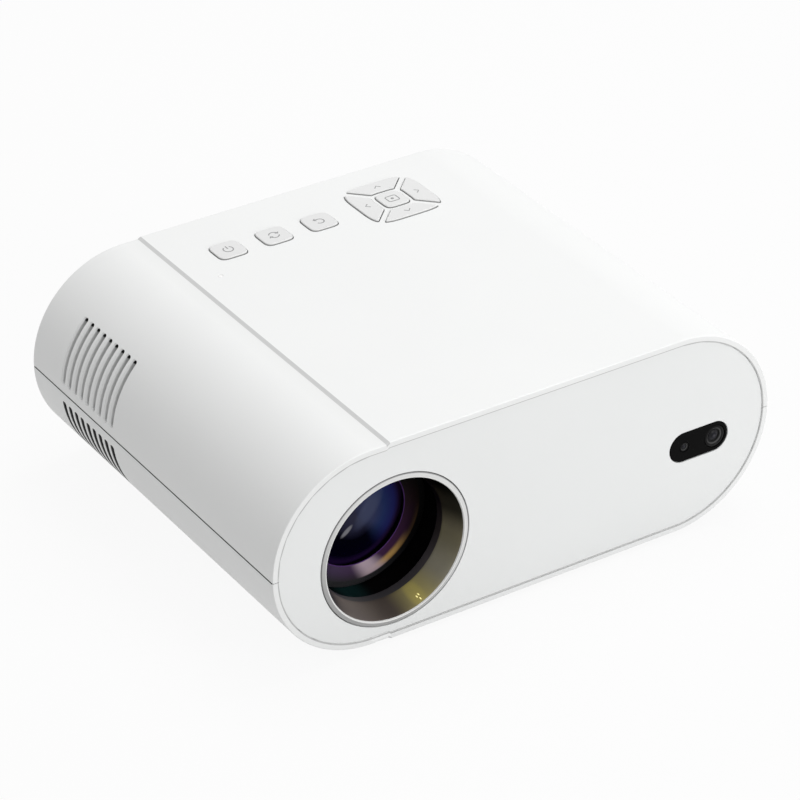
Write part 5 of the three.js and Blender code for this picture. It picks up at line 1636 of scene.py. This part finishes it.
def build_lamps():
    for name, place, aim, width, power in LAMPS:
        data = bpy.data.lights.new(name, "AREA")
        data.shape, data.size, data.energy = "DISK", width, power
        lamp = placed(data, name)
        lamp.location = place
        lamp.rotation_euler = (Vector(aim) - Vector(place)).to_track_quat("-Z", "Y").to_euler()


def build_camera():
    studio = values("studio")
    data = bpy.data.cameras.new("camera")
    camera = placed(data, "camera")
    a, e, roll = studio.azimuth, studio.elevation, studio.roll
    back = Vector((math.sin(a) * math.cos(e), -math.cos(a) * math.cos(e), math.sin(e)))
    right = Vector((math.cos(a), math.sin(a), 0))
    up = back.cross(right)
    side = math.cos(roll) * right + math.sin(roll) * up
    top = -math.sin(roll) * right + math.cos(roll) * up
    turn = Matrix((side, top, back)).transposed().to_4x4()
    camera.matrix_world = Matrix.Translation(Vector(CAMERA_PLACE)) @ turn
    data.lens, data.sensor_width = studio.lens, 36
    data.clip_start, data.clip_end = 0.05, 50
    bpy.context.scene.camera = camera
    bpy.context.scene.view_settings.view_transform = "Standard"


# Operators


class ProjectorStep(bpy.types.Operator):
    """Builds one group of the projector's pieces"""

    bl_options = {"REGISTER", "UNDO"}
    build = ()

    def execute(self, context):
        for make in self.build:
            make()
        return {"FINISHED"}


def step(name, label, words, *functions):
    settings = {"__doc__": words, "bl_idname": "projector." + name, "bl_label": label, "build": functions}
    return type("PROJECTOR_OT_" + name, (ProjectorStep,), settings)


STUDIO = (build_floor, build_world, build_lamps, build_camera)
STEPS = (
    step("studio", "Studio", "Makes the floor, the lamps and the camera", *STUDIO),
    step("shells", "Case Halves", "Makes the shells with vents and openings", build_shells, build_shade_screens),
    step("front_panel", "Front Panel", "Makes the front panel with its two openings", build_front_panel),
    step("rear_panel", "Rear Panel", "Makes the rear panel with its openings and grille", build_rear_panel),
    step("lens_ring", "Ring and Hood", "Makes the bright ring and the lens hood", build_ring_and_hood),
    step("barrel", "Lens Barrel", "Makes the sliding barrel of the lens with its rack", build_barrel),
    step("front_glass", "Front Glass", "Makes the coated front glass", build_front_glass),
    step("sensor_window", "Sensor Window", "Makes the sensor window and its lenses", build_sensor_window),
    step("keys", "Keys", "Makes the eight keys and their printed symbols", build_keys),
    step("status_light", "Status Light", "Makes the small light on the top", build_status_light),
    step("sockets", "Sockets", "Makes the sockets in the rear panel", build_sockets),
    step("feet", "Feet", "Makes the four rubber feet", build_feet),
    step("tripod_insert", "Tripod Insert", "Makes the threaded insert in the underside", build_tripod_insert),
    step("screws", "Case Screws", "Makes the four case screws", build_screws),
    step("inner_parts", "Inner Parts", "Paints the parts inside the case", paint_inner_nodes),
)


class PROJECTOR_PT_builder(bpy.types.Panel):
    bl_label = "Projector"
    bl_space_type = "VIEW_3D"
    bl_region_type = "UI"
    bl_category = "Projector"

    def draw(self, context):
        for operator in STEPS:
            self.layout.operator(operator.bl_idname)


CLASSES = (*GROUPS.values(), *STEPS, PROJECTOR_PT_builder)


def register():
    for part in CLASSES:
        bpy.utils.register_class(part)
    for name, group in GROUPS.items():
        setattr(bpy.types.Scene, name, PointerProperty(type=group))


def unregister():
    for name in GROUPS:
        delattr(bpy.types.Scene, name)
    for part in reversed(CLASSES):
        bpy.utils.unregister_class(part)


def main():
    register()
    for operator in STEPS:
        getattr(bpy.ops.projector, operator.bl_idname.split(".")[1])()


if __name__ == "__main__":
    main()
